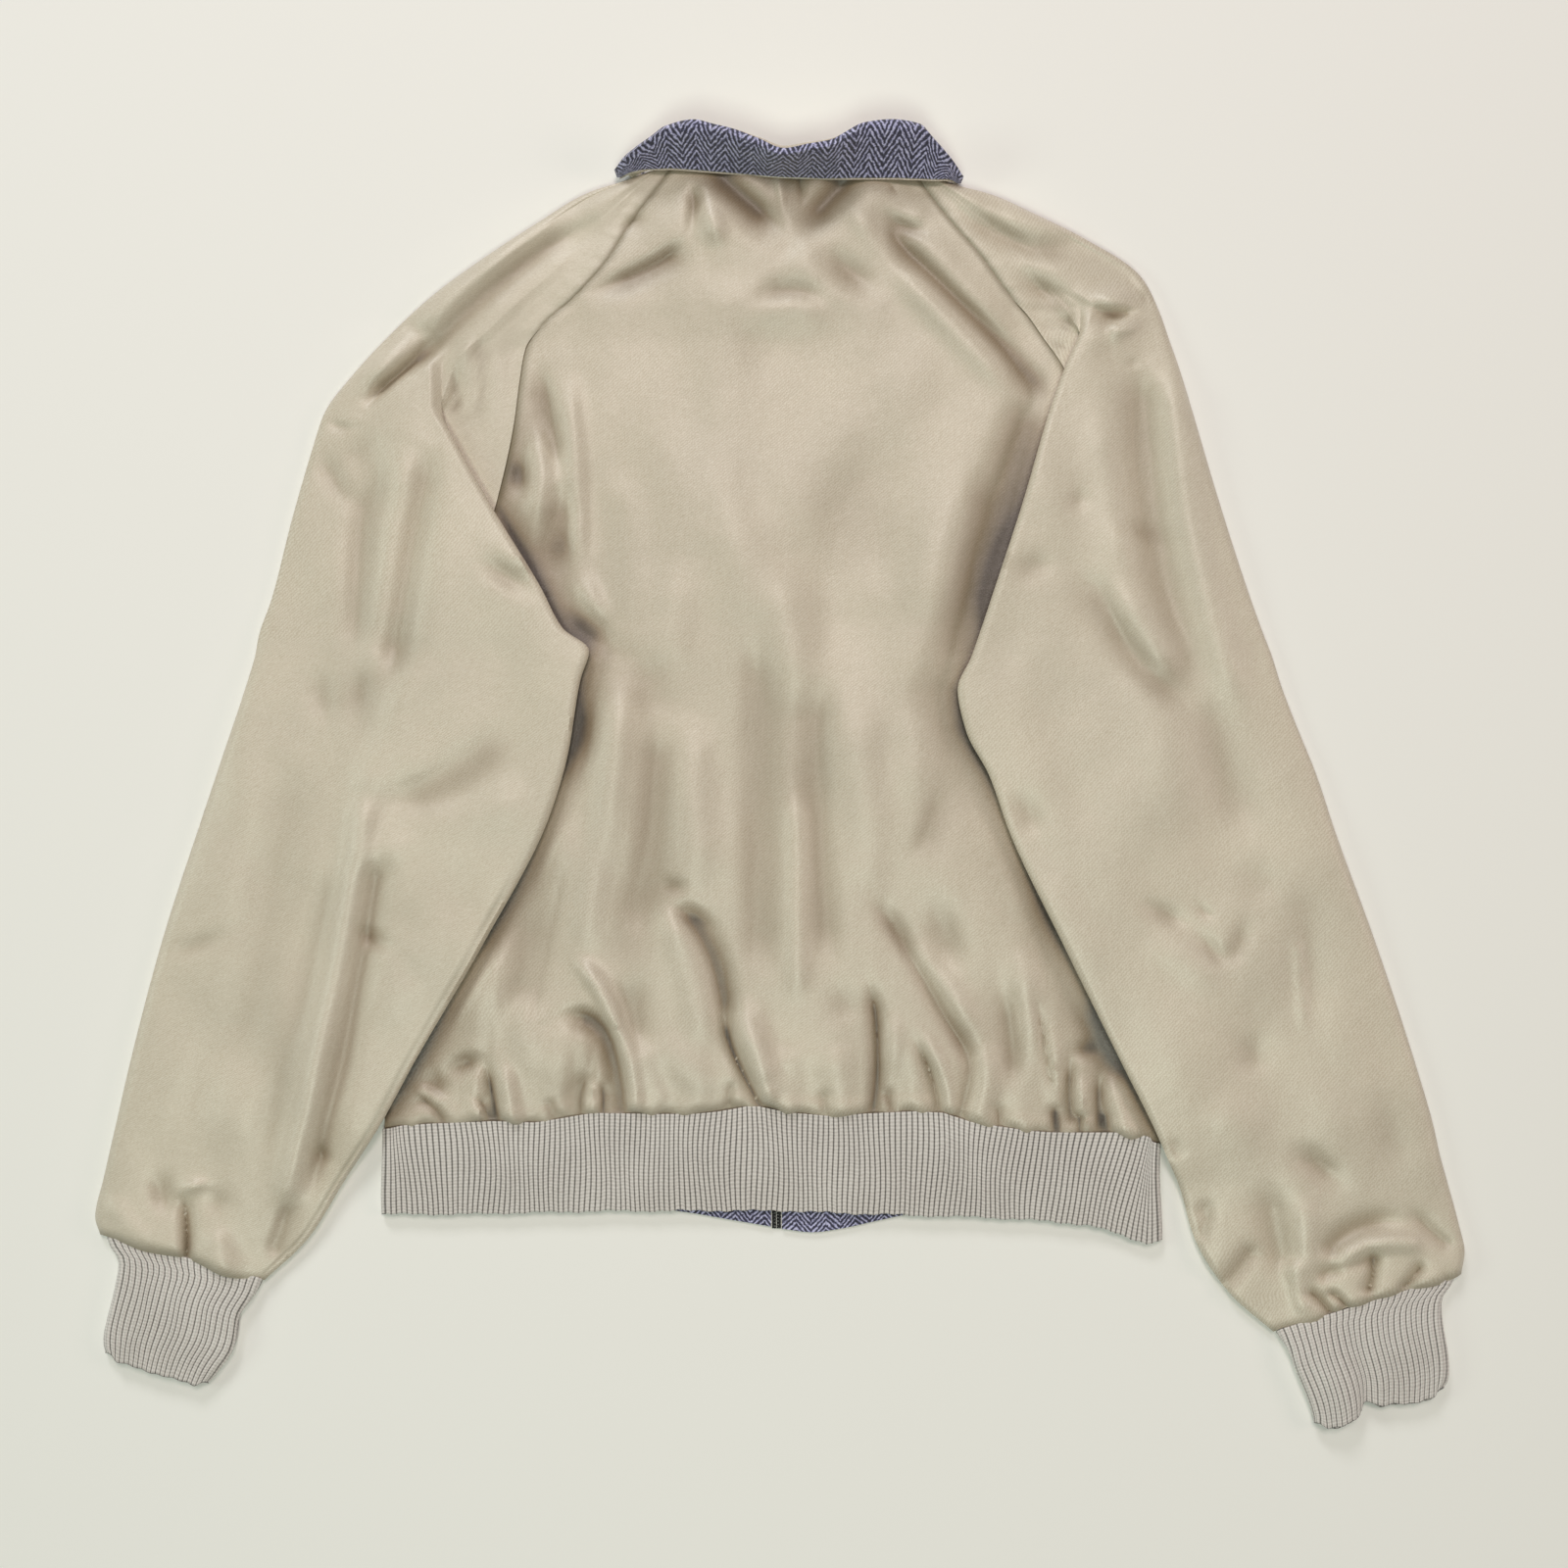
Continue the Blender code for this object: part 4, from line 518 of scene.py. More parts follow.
def back_grid():
    """The back: raglan rows that share the sleeves' seams, then rows down to the hem, the sides curled under."""
    gather_x = np.array(GATHERS, float)[:, 0]
    shares = (gather_x - gather_x[0]) / (gather_x[-1] - gather_x[0])
    across = np.array((1.0, 0.0))
    rows = []
    for left, right in zip(LEFT_RAGLAN, RIGHT_RAGLAN):
        gap = np.array(ARMPIT_GAP if left is LEFT_RAGLAN[-1] else (0.0, 0.0))
        start, end = left.seam + across * SEAM / 2 + gap, right.seam - across * SEAM / 2 + gap * (-1, 1)
        inner = between(start + across * INSET * 2, end - across * INSET * 2, shares[:, None])
        ins = (0.0, CURL / 2, INSET)
        places = [start + across * step for step in ins] + [*inner] + [end - across * step for step in ins[::-1]]
        x, y = np.array(places).T
        bow = NECK_BOW if left is LEFT_RAGLAN[0] else 0.0
        y = y + bow * (1 - ((2 * x - start[0] - end[0]) / (end[0] - start[0])) ** 2)
        rows.append(np.stack([x, y, np.interp(x, (start[0], end[0]), (left.seam_z, right.seam_z))], axis=-1))
    for level in (*SIDE_ROWS, *(HEM_LEVEL + above for above in HEM_ROWS)):
        left, right = side_x(level, LEFT), side_x(level, RIGHT)
        inner = between(left + INSET * 2, right - INSET * 2, shares)
        inner = between(inner, gather_x, smooth((SIDE_ROWS[0] - level) / FAN_RUN))
        ins = np.array((0.0, CURL_FIRST, CURL_SECOND)) * CURL
        x = np.array([*(left + ins), *inner, *(right - ins[::-1])])
        layer = ARMPIT_LAYER if level == SIDE_ROWS[0] else BACK_LAYER
        edge_z = (BACK_LAYER - CURL + SIDE_GAP, layer - CURL_FIRST * CURL, layer)
        bent = along(HEM_SEAM, x) - HEM_LEVEL if level < SIDE_ROWS[-1] else 0 * x
        rows.append(np.stack([x, level + bent, [*edge_z, *[layer] * len(inner), *edge_z[::-1]]], axis=-1))
    return np.array(rows)


def front_grid(raglan, side):
    """A front, flat on the floor, with its side curled up to meet the back's."""
    levels = (*SIDE_ROWS[::2], HEM_LEVEL)
    rows = []
    for k, y in enumerate(np.linspace(FRONT_NECK, FRONT_HEM, len(raglan) + len(levels))):
        if k < len(raglan):
            gap = FRONT_GAP if k == len(raglan) - 1 else (0.0, 0.0)
            start = np.subtract(raglan[k].front, (side * (SEAM / 2 + gap[0]), -gap[1]))
            ins, heights = (0.0, CURL / 2, 2 * CURL), [FLOOR_LAYER] * 3
        else:
            level = levels[k - len(raglan)]
            start, ins = np.array((side_x(level, side), level)), (0.0, CURL_FIRST * CURL, CURL_SECOND * CURL)
            heights = [FLOOR_LAYER + CURL - SIDE_GAP, FLOOR_LAYER + CURL_FIRST * CURL, FLOOR_LAYER]
        places = [start - (side * step, 0.0) for step in ins]
        for share in (0.33, 0.66, 1.0):
            bow = FRONT_BOW if k == 0 and share < 1 else 0.0
            places.append(between(places[2], (ZIP_X + side * FRONT_EDGE, y), share) - (0.0, bow))
        rows.append([(*place, z) for place, z in zip(places, heights + [FLOOR_LAYER] * 3)])
    return np.array(rows)[:, ::side]


def front_hem(x):
    """The y where the band and tabs start below a front, at this x."""
    return np.interp(np.abs(x - ZIP_X), [FRONT_EDGE, FRONT_REACH], [FRONT_HEM, HEM_LEVEL]) - SEAM - 1.0


def collar_grid():
    """The under collar: up its stand from the neck seam, round the ridge and down its fall to the free edge."""
    stations = [COLLAR[0]]
    for last, row in zip(COLLAR, COLLAR[1:]):
        if np.linalg.norm(np.subtract(row.ridge, last.ridge)) > COLLAR_STEP:
            stations.append(Collar(*(between(a, b, 0.5) for a, b in zip(last, row))))
        stations.append(row)
    columns = []
    for neck, ridge, hem in stations:
        radius = between(2 * LEAF, COLLAR_ROLL, smooth((ridge[2] - 9) / 18)) / 2
        up = unit(np.subtract(ridge, neck))
        fall = np.subtract(hem, neck)
        out = unit(fall - (fall @ up) * up)
        centre = ridge - up * radius
        bend = [centre + radius * (sin(angle) * out + cos(angle) * up) for angle in np.linspace(-pi / 2, pi / 2, 4)]
        columns.append([neck, between(neck, centre - out * radius, 0.5), *bend, between(bend[-1], hem, 0.5), hem])
    return np.array(columns, float).transpose(1, 0, 2)


def tab_grid(start, end):
    """A hem tab: a flat layer from the front's hem seam down to the lower edge."""
    x = np.linspace(start, end, 5)
    ys = [between(along(FRONT_FOOT, x), front_hem(x), share) for share in (1.0, 0.5, 0.0)]
    return np.array([np.stack([x, y, 0 * x + LEAF / 2], axis=-1) for y in ys])


# --- The finer surface ---
def slopes_of(values, steps):
    """The slope of each line at its points, kept so that a smooth curve through them never swings past one."""
    delta = np.diff(values, axis=0) / steps[..., None]
    left, right = delta[:-1], delta[1:]
    near, far = (2 * steps[1:] + steps[:-1])[..., None], (steps[1:] + 2 * steps[:-1])[..., None]
    same = left * right > 1e-12
    with np.errstate(divide="ignore", invalid="ignore"):
        middle = np.where(same, (near + far) / (near / left + far / right), 0.0)
    return np.concatenate([delta[:1], middle, delta[-1:]])


def finer(grid, spacing):
    """The same surface with more rows, about this far apart. Columns past x, y and z are carried along.

    Spacing is one length, or one for each step between the old rows.
    """
    spacing = np.broadcast_to(spacing, (len(grid) - 1,))
    steps = np.maximum(np.linalg.norm(np.diff(grid[..., :3], axis=0), axis=2), 1e-3)
    slopes = slopes_of(grid, steps)
    rows = []
    for r in range(len(grid) - 1):
        width = steps[r][:, None]
        count = max(1, int(round(steps[r].mean() / spacing[r])))
        for t in np.arange(count) / count:
            rows.append(
                grid[r] * (2 * t**3 - 3 * t**2 + 1)
                + slopes[r] * width * (t**3 - 2 * t**2 + t)
                + grid[r + 1] * (3 * t**2 - 2 * t**3)
                + slopes[r + 1] * width * (t**3 - t**2)
            )
    return np.array([*rows, grid[-1]])


def turned(grid):
    return grid.transpose(1, 0, 2)


def finer_both(grid, spacing, across=None):
    return finer(turned(finer(turned(grid), spacing if across is None else across)), spacing)


def with_edge_rows(grid, first, last):
    """Adds rows close beside the first or last edge, so that it can roll down into its seam."""
    rows = [*grid]
    for wanted, end, order in ((first, 0, 1), (last, -1, -1)):
        if wanted:
            way = grid[end + order] - grid[end]
            way = way / np.maximum(np.linalg.norm(way[:, :3], axis=1, keepdims=True), LEAST_EDGE_STEP)
            rows[order:order] = [grid[end] + way * step for step in EDGE_STEPS[::order]]
    return np.array(rows)


def distance_along(grid, axis):
    """How far each point lies from its line's first point, along the surface."""
    total = np.cumsum(np.linalg.norm(np.diff(grid[..., :3], axis=axis), axis=2), axis=axis)
    return np.concatenate([np.zeros_like(np.take(total, [0], axis=axis)), total], axis=axis)


def faces_of(rows, columns, ring_from=None):
    """The grid's faces, its last column joined to its first from this row on."""
    index = np.arange(rows * columns).reshape(rows, columns)
    faces = [np.stack([index[:-1, :-1], index[1:, :-1], index[1:, 1:], index[:-1, 1:]], axis=-1).reshape(-1, 4)]
    if ring_from is not None:
        ring = index[ring_from:]
        faces.append(np.stack([ring[:-1, -1], ring[1:, -1], ring[1:, 0], ring[:-1, 0]], axis=-1))
    return np.concatenate(faces)


def outward(points, faces):
    """For each point, the vector that moves its faces out by one unit."""
    corners = points[faces]
    normals = np.cross(corners[:, 2] - corners[:, 0], corners[:, 3] - corners[:, 1])
    units = normals / np.maximum(np.linalg.norm(normals, axis=1, keepdims=True), 1e-9)
    total = np.zeros_like(points)
    for corner in faces.T:
        np.add.at(total, corner, units)
    total /= np.maximum(np.linalg.norm(total, axis=1, keepdims=True), 1e-9)
    lean, count = np.zeros(len(points)), np.zeros(len(points))
    for corner in faces.T:
        np.add.at(lean, corner, (total[corner] * units).sum(axis=1))
        np.add.at(count, corner, 1)
    return total / np.clip(lean / np.maximum(count, 1), LEAST_LEAN, 1.0)[:, None]


def placed(points):
    """Points of the tables as the eye sees them, in metres where they really are for their height."""
    share = (EYE[2] - points[..., 2:]) / (EYE[2] - TABLE_HEIGHT)
    settled = np.concatenate([EYE[:2] + (points[..., :2] - EYE[:2]) * share, points[..., 2:]], axis=-1)
    return (settled + SHIFT) * MM


def kept(count, extra=()):
    """Every second index up to count, with the last one and the extra ones, for the plainer inner face."""
    return np.array(sorted({*range(0, count, 2), count - 1, *extra}))


def rims_of(faces, keep):
    """Runs of the open edges from one kept point to the next, in the direction of their faces."""
    edges = np.concatenate([faces[:, [k, (k + 1) % 4]] for k in range(4)])
    keys = {(int(a), int(b)) for a, b in edges}
    after = {a: b for a, b in keys if (b, a) not in keys}
    runs = []
    for start in sorted(after):
        if keep[start] >= 0:
            run = [start, after[start]]
            while keep[run[-1]] < 0:
                run.append(after[run[-1]])
            runs.append(run)
    return runs


def cloth(name, node, grid, thickness, finish, ring_from=None, relief=0.0, out=0.0, cut=None, marks=None):
    """A closed sheet on this surface, its inner face with fewer points.

    Its own map holds lengths along the cloth in metres for the weave, and marks are its named point values.
    """
    rows, columns = grid.shape[:2]
    points = grid[..., :3].reshape(-1, 3)
    faces = faces_of(rows, columns, ring_from)
    offset = outward(points, faces)
    lift = np.broadcast_to(relief, (rows, columns)).reshape(-1, 1)
    outer, inner = points + offset * (out + thickness / 2 + lift), points + offset * (out - thickness / 2)
    lines, stations = kept(rows, () if ring_from is None else (ring_from,)), kept(columns)
    index = np.arange(len(points)).reshape(rows, columns)[np.ix_(lines, stations)].reshape(-1)
    keep = np.full(len(points), -1)
    keep[index] = np.arange(index.size) + len(points)
    back_from = None if ring_from is None else int(np.searchsorted(lines, ring_from))
    back_faces = faces_of(len(lines), len(stations), back_from) + len(points)
    rims = [[*run[::-1], int(keep[run[0]]), int(keep[run[-1]])] for run in rims_of(faces, keep)]
    shell = faces.tolist() + back_faces[:, ::-1].tolist() + rims
    chosen = np.concatenate([np.arange(len(points)), index])
    mesh = bpy.data.meshes.new(name)
    mesh.from_pydata(placed(np.vstack([outer, inner[index]])).tolist(), [], shell)
    if cut is None:
        across, down = distance_along(grid, 1), distance_along(grid, 0).mean(axis=1, keepdims=True)
        middle = across[:, columns // 2, None]
        cut = np.stack([across - middle, np.broadcast_to(down, across.shape)], axis=-1)
    corners = np.array([v for face in shell for v in face])
    lengths = cut.reshape(-1, 2)[chosen[corners]] * MM
    mesh.uv_layers.new(name="cloth").data.foreach_set("uv", lengths.astype(np.float32).reshape(-1))
    for key, values in (marks or {}).items():
        values = np.broadcast_to(values, (rows, columns)).reshape(-1)[chosen].astype(np.float32)
        mesh.attributes.new(key, "FLOAT", "POINT").data.foreach_set("value", values)
    mesh.materials.append(finish)
    mesh.shade_smooth()
    mesh.set_sharp_from_angle(angle=radians(60))
    piece = bpy.data.objects.new(name, mesh)
    bpy.context.collection.objects.link(piece)
    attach(piece, "root")
    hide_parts(node)
    return piece


# --- Folds and creases ---
def under_collar(x, y):
    """1 beside the collar's lower edge, where its shade lies on the cloth, and 0 away from it."""
    edge = [row.hem[:2] for row in COLLAR if row.hem[2] > COLLAR_SHOWN]
    return np.exp(-np.maximum(0.0, along(edge, x) - y) / COLLAR_SHADE) * (np.abs(x) < 150)


def fold_field(x, y, creases):
    """How far all of these creases lift the cloth at the points, and how sharply, as painted shading for the
    colour: below zero, painted shade in a narrow hollow; above zero, a slight painted highlight on a ridge.
    """
    total, painted_crease_shading = np.zeros_like(x), np.zeros_like(x)
    t = np.linspace(0, 1, CURVE_POINTS)[:, None]
    for crease in creases:
        start, bend, end = (np.array(place) for place in crease[:3])
        line = start * (1 - t) ** 2 + 2 * bend * t * (1 - t) + end * t**2
        reach = CREASE_REACH * crease.width
        low, high = line.min(axis=0) - reach, line.max(axis=0) + reach
        near = (x > low[0]) & (x < high[0]) & (y > low[1]) & (y < high[1])
        if not near.any():
            continue
        place = np.stack([x[near], y[near]], axis=-1)
        best, side, run = np.full(len(place), 1e9), np.zeros(len(place)), np.zeros(len(place))
        for k, way in enumerate(np.diff(line, axis=0)):
            share = np.clip(((place - line[k]) @ way) / (way @ way), 0, 1)
            gap = place - (line[k] + share[:, None] * way)
            away = np.linalg.norm(gap, axis=1)
            closer = away < best
            best = np.where(closer, away, best)
            side = np.where(closer, way[0] * gap[:, 1] - way[1] * gap[:, 0], side)
            run = np.where(closer, (k + share) / (CURVE_POINTS - 1), run)
        width = crease.width * (1 + crease.lean * np.sign(side))
        body = np.exp(-((best / width) ** (2.0 if crease.width > SHARP_BELOW else SHARP_POWER)))
        length = np.linalg.norm(np.diff(line, axis=0), axis=1).sum()
        fade = min(MOST_FADE, (END_FADE + END_FADE_WIDTHS * crease.width) / length)
        taper = np.ones(len(place))
        for share, (end_x, end_y) in ((run, start), (1 - run, end)):
            # The body's cloth reaches down to the hem seam, and a sleeve's to its cuff seam.
            sewn_edge = along(HEM_SEAM, end_x) if abs(end_x) < BODY_REACH else CUFF_SEAM
            if end_y >= sewn_edge + SEWN_REACH:
                taper *= 0.1 + 0.9 * smooth(share / fade)
        height = crease.height * min(1.0, length / (SHORT_CREASE * crease.width))
        total[near] += CREASE_SCALE * height * body * taper
        painted_crease_shading[near] += height * min(1.0, WIDE_CREASE / crease.width) * body * taper**2
    return total, np.clip(painted_crease_shading / TIGHT_FOLD, -1, 1)


def unevenness(x, y):
    """A slight unevenness all over: long waves that mostly run up and down the cloth, and cross at small angles."""
    total = np.zeros_like(x)
    for k in range(14):
        angle, length = 0.75 * sin(2.399963 * k), 38.0 + 9.1 * k
        bend = 9.0 * np.sin(y * 2 * pi / (170.0 + 31 * k) + 1.3 * k)
        run = (x + bend) * cos(angle) + y * sin(angle)
        total += 0.0035 * length * np.sin(run * 2 * pi / length + 1.7 * k * k)
    return UNEVEN * total * 0.5


def gathers(x, y):
    """The gathers above the hem seam: each rises and falls smoothly from one crest to the next."""
    xs = np.array(GATHERS, float)[:, 0]
    spot = np.clip(np.searchsorted(xs, x) - 1, 0, len(xs) - 2)
    share = smooth((x - xs[spot]) / (xs[spot + 1] - xs[spot]))
    above = y - along(HEM_SEAM, x)
    fall = np.exp(-above / (GATHER_SHARE * along(GATHERS, x))) * smooth(above / 8)
    return GATHER_HEIGHT * np.where(spot % 2, 1.0, -1.0) * (1 - 2 * share) * fall


def broad_folds(x, y):
    """The largest folds of the back, as its solid has them."""
    total = np.zeros_like(x)
    for fold in FOLDS:
        start, end = np.array(fold.start, float), np.array(fold.end, float)
        length = np.linalg.norm(end - start)
        axis = (end - start) / length
        run = (x - start[0]) * axis[0] + (y - start[1]) * axis[1]
        off = (y - start[1]) * axis[0] - (x - start[0]) * axis[1]
        past = np.maximum(0.0, np.maximum(-run, run - length))
        total += fold.height * np.exp(-((off / fold.width) ** 2) - (past / fold.width) ** 2)
    return total


def seam_roll(distance):
    """How far the cloth beside a seam dips into it."""
    return -SEAM_DIP * np.clip(1 - distance / SEAM_ROLL, 0, 1) ** 2


def seam_puckers(run, distance):
    """Small puckers across a seam, by the distance along it and from it."""
    waves = ((13.0, 0.0, 1.0), (7.9, 1.1, 0.7), (31.0, 0.0, 0.5))
    wave = sum(height * np.sin(run * 2 * pi / length + start) for length, start, height in waves)
    return PUCKER * wave * np.exp(-distance / 7.0)


def evened(values, passes):
    """The values with their changes from row to row spread over the eight rows on each side."""
    for _ in range(passes):
        padded = np.concatenate([values[:1]] * 8 + [values] + [values[-1:]] * 8)
        values = np.mean([padded[k : k + len(values)] for k in range(17)], axis=0)
    return values


def kept_above(z, floor):
    """The heights, with those near and below the floor bent up softly."""
    return floor + SOFT_BEND * np.log1p(np.exp(np.minimum(30.0, (z - floor) / SOFT_BEND)))


def scallops(run):
    """How far the cloth's sewn end hangs over its ribs along this run, from 0 to 1."""
    return (0.5 + 0.5 * np.sin(run / 4.6 + 1.6 * np.sin(run / 12.0))) ** 1.5


def reach_in(y, side):
    """The x that the sleeve reaches in to, over the back, at each of these y."""
    raglan, tube = SLEEVES[side]
    places = [(row.edge[1], side * min(side * row.seam[0], side * row.edge[0])) for row in raglan]
    return along(places + [(row.edge[1], row.edge[0]) for row in tube], y)


# --- Surfaces ---
def with_channels(grid, *channels):
    """The grid with more values at each point, which finer() carries along."""
    return np.concatenate([grid[..., :3], *[np.asarray(c, float)[..., None] for c in channels]], axis=-1)


def back_surface():
    """The back, finer, with its folds, creases and gathers."""
    grid = back_grid()
    raglan = np.broadcast_to(np.arange(len(grid))[:, None] < len(LEFT_RAGLAN), grid.shape[:2])
    steps = np.interp(grid[1:, :, 1].mean(axis=1), (-150, -100), (BACK_STEP, 1.5 * BACK_STEP))
    grid = with_edge_rows(finer_both(with_channels(grid, raglan), steps, BACK_ACROSS), True, True)
    grid = turned(with_edge_rows(turned(grid), True, True))
    x, y, z, raglan = (grid[..., k].copy() for k in range(4))
    left, right = reach_in(y, LEFT), reach_in(y, RIGHT)
    # Over the shoulders the sleeve and the back lie side by side, and below them the sleeve is folded in.
    free = smooth((y - SHOULDER_FOOT) / SHOULDER_FADE)
    shown = np.maximum(smooth((x - left - 1) / 16) * smooth((right - 1 - x) / 16), free)
    above = y - along(HEM_SEAM, x)
    at_hem = smooth(above / HEM_FADE)
    folds, painted_crease_shading = fold_field(x, y, BACK_CREASES)
    over, _ = fold_field(x, y, LEFT_CREASES + RIGHT_CREASES)
    rise = (broad_folds(x, y) + unevenness(x, y)) * at_hem + folds * smooth(above / 4) + over * free
    rise += np.where(y < 0, gathers(x, y), 0.0)
    rise += BACK_BILLOW * smooth((x - left) / BILLOW_RUN) * smooth((right - x) / BILLOW_RUN) * at_hem
    rise += HEM_BILLOW * smooth(above / 7) * np.exp(-np.maximum(above, 0) / 26)
    down, across = distance_along(grid, 0), distance_along(grid, 1)
    sides = (across, across[:, -1:] - across)
    at_side = np.minimum(*sides)
    z += shown * rise * smooth(down / NECK_FADE)
    for gap in sides:
        z += raglan * (seam_roll(gap) + free * seam_puckers(down, gap))
    z += seam_roll(down[-1:] - down) * SEWN_DIP + 0.5 * bell(above, 6.0, 3.0)
    edge = smooth(at_side / 12) * (y < 290)
    hang = scallops(x) * edge * (y < 0) * (1 - smooth(above / 12))
    grid[..., 1] -= 0.8 * SCALLOP * hang
    grid[..., 2] = between(z, kept_above(z, BACK_FLOOR), edge) + 1.2 * hang
    sewn = np.maximum(raglan * bell(at_side, 0, SEWN_LINE), bell(above, 0, SEWN_LINE))
    # Painted shade for the cloth's colour: darker beside the sleeves that lie on the back and under the collar's
    # lower edge, taken off the creases' painted shading.
    beside = np.minimum(np.abs(x - left), np.abs(right - x))
    tucked = smooth((SHADE_TOP - y) / SHADE_FADE) * (0.8 + 0.2 * np.sin(y / 16.0))
    tucked *= np.exp(-beside / SLEEVE_SHADE_RUN) + 0.3 * bell(beside, 0, 4 * SLEEVE_SHADE_RUN)
    return grid[..., :3], {"sewn": sewn, "fold": np.clip(painted_crease_shading - tucked - 0.8 * under_collar(x, y), -1, 1)}


def sleeve_surface(side, creases):
    """A sleeve, finer, with its own creases and, over the shoulder, those that run on from the back.

    Own is 1 on the upper layer, shoulder and seam where the sleeve lies beside the back, and tucked on the cloth
    that the sleeve is folded over.
    """
    raglan, tube = SLEEVES[side]
    sections = [raglan_section(row, row is raglan[-1]) for row in raglan]
    grid = np.array(sections + [tube_section(row, side) for row in tube])
    own, shoulder, seam, tucked = np.zeros((4, *grid.shape[:2]))
    for r in range(len(grid)):
        folded_part = r < len(raglan)
        unfolded = max(0.0, 1 - 2 * raglan[r].crease) if folded_part else 0.0
        own[r, : len(OWN_BELOW)] = OWN_ABOVE if folded_part else OWN_BELOW
        own[r, :10] = np.maximum(own[r, :10], unfolded)
        shoulder[r, :19] = unfolded * np.array((*[1.0] * 17, 0.6, 0.2))
        seam[r] = unfolded
        tucked[r, :7] = (1 - unfolded) * folded_part
    number = np.broadcast_to(np.arange(len(grid))[:, None], grid.shape[:2])
    grid = finer_both(with_channels(grid, own, shoulder, seam, tucked, number), SLEEVE_STEP, SLEEVE_COLUMNS)
    ring_from = int(np.searchsorted(grid[:, 0, 7], len(raglan) - 1 - 1e-6))
    grid = turned(with_edge_rows(turned(with_edge_rows(grid, False, True)), True, False))
    x, y, z, own, shoulder, seam, tucked = (grid[..., k].copy() for k in range(7))
    down, across = distance_along(grid, 0), distance_along(grid, 1)
    end = down[-1:] - down
    top, own = own, own * smooth((end + 2) / 6)
    z = between(z, evened(z, 2), own * (1 - shoulder) * smooth((end - 20) / 25))
    folds, painted_crease_shading = fold_field(x, y, creases)
    over, _ = fold_field(x, y, BACK_CREASES)
    rough = unevenness(x, y)
    z += own * (folds + rough + SLEEVE_PUFF * (1 - shoulder))
    z += shoulder * (broad_folds(x, y) + over) * smooth(down / NECK_FADE)
    # What shows of the cloth that the sleeve is folded over, between its folded edge and the raglan seam.
    past = (along([(row.edge[1], row.edge[0]) for row in (*raglan, *tube)], y) - x) * side
    bared = tucked * smooth((past - 1) / 9) * smooth(across / 8)
    z = between(z, kept_above(z + (1 - own) * (0.6 * folds + 1.5 * rough), BACK_FLOOR), bared)
    z += seam * (seam_roll(across) + seam_puckers(down, across) + ALLOWANCE * bell(across, 6.0, 3.2))
    z += own * (seam_roll(end) * SEWN_DIP + CUFF_BILLOW * smooth(end / 6) * np.exp(-end / 22))
    sewn = np.maximum(seam * bell(across, 0, SEWN_LINE), bell(end, 0, SEWN_LINE))
    if side == LEFT:
        # The underarm seam, turned up onto the top along the lower part of the inner edge.
        lip = bell(x, reach_in(y, side) - LIP, 1.1) * smooth((LIP_TOP - y) / 60) * own
        z -= 0.7 * lip
        sewn = np.maximum(sewn, lip)
    floor = evened(OVER_LAYER + over_side(x, y, side), 3)
    grid[..., 2] = between(z, kept_above(z, floor), np.clip(own - shoulder, 0, 1))
    # Where the sleeve's end hangs over its cuff.
    inner, outer = np.array(tube[-1].edge, float), np.array(tube[-1].outer, float)
    t = (grid[..., :2] - inner) @ (outer - inner) / ((outer - inner) ** 2).sum()
    hang = sum(far * bell(t, middle, reach) for far, middle, reach in SLEEVE_HANG[side])
    if side == RIGHT:
        hang += 0.8 * scallops(across)
    hang = hang * top * (1 - smooth(end / 14))
    way = grid[-1:, :, :2] - grid[-4:-3, :, :2]
    grid[..., :2] += way / np.linalg.norm(way, axis=2, keepdims=True) * hang[..., None]
    grid[..., 2] += 0.35 * hang
    # Painted shade in the creases' hollows and under the collar's edge, and a slight painted highlight on their
    # ridges, for the cloth's colour.
    fold = np.maximum(0.7 * own, bared) * painted_crease_shading - 0.8 * shoulder * under_collar(x, y)
    marks = {"sewn": sewn[:, ::side], "fold": np.clip(fold, -1, 1)[:, ::side]}
    return grid[:, ::side, :3], marks, ring_from


def with_ribs(path, count):
    """Places for this many ribs along a path, their heights from 0 in a valley to 1 on a crest, and their tone.

    The tone is painted shade: dark in the valleys, and a thin dark line between the two stitches of each rib.
    """
    run = np.concatenate([[0], np.cumsum(np.linalg.norm(np.diff(path, axis=0), axis=1))])
    count = count or int(round(run[-1] / RIB_PITCH))
    ribs = np.abs(np.sin(np.arange(count * RIB_COLUMNS + 1) / RIB_COLUMNS * pi)) ** 0.4
    places = np.linspace(0, run[-1], len(ribs))
    spots = np.stack([np.interp(places, run, values) for values in np.transpose(path)], axis=-1)
    return places, spots, ribs, np.where(ribs > 0.99, 0.45, ribs)


def rib_depth(rows_to_edge):
    """A rib's height, which falls off close to a seam or a free edge."""
    return RIB_SHOWN * min(1.0, 0.55 + 0.3 * rows_to_edge)


HALF_TURN = [pi * k / 8 for k in range(9)]


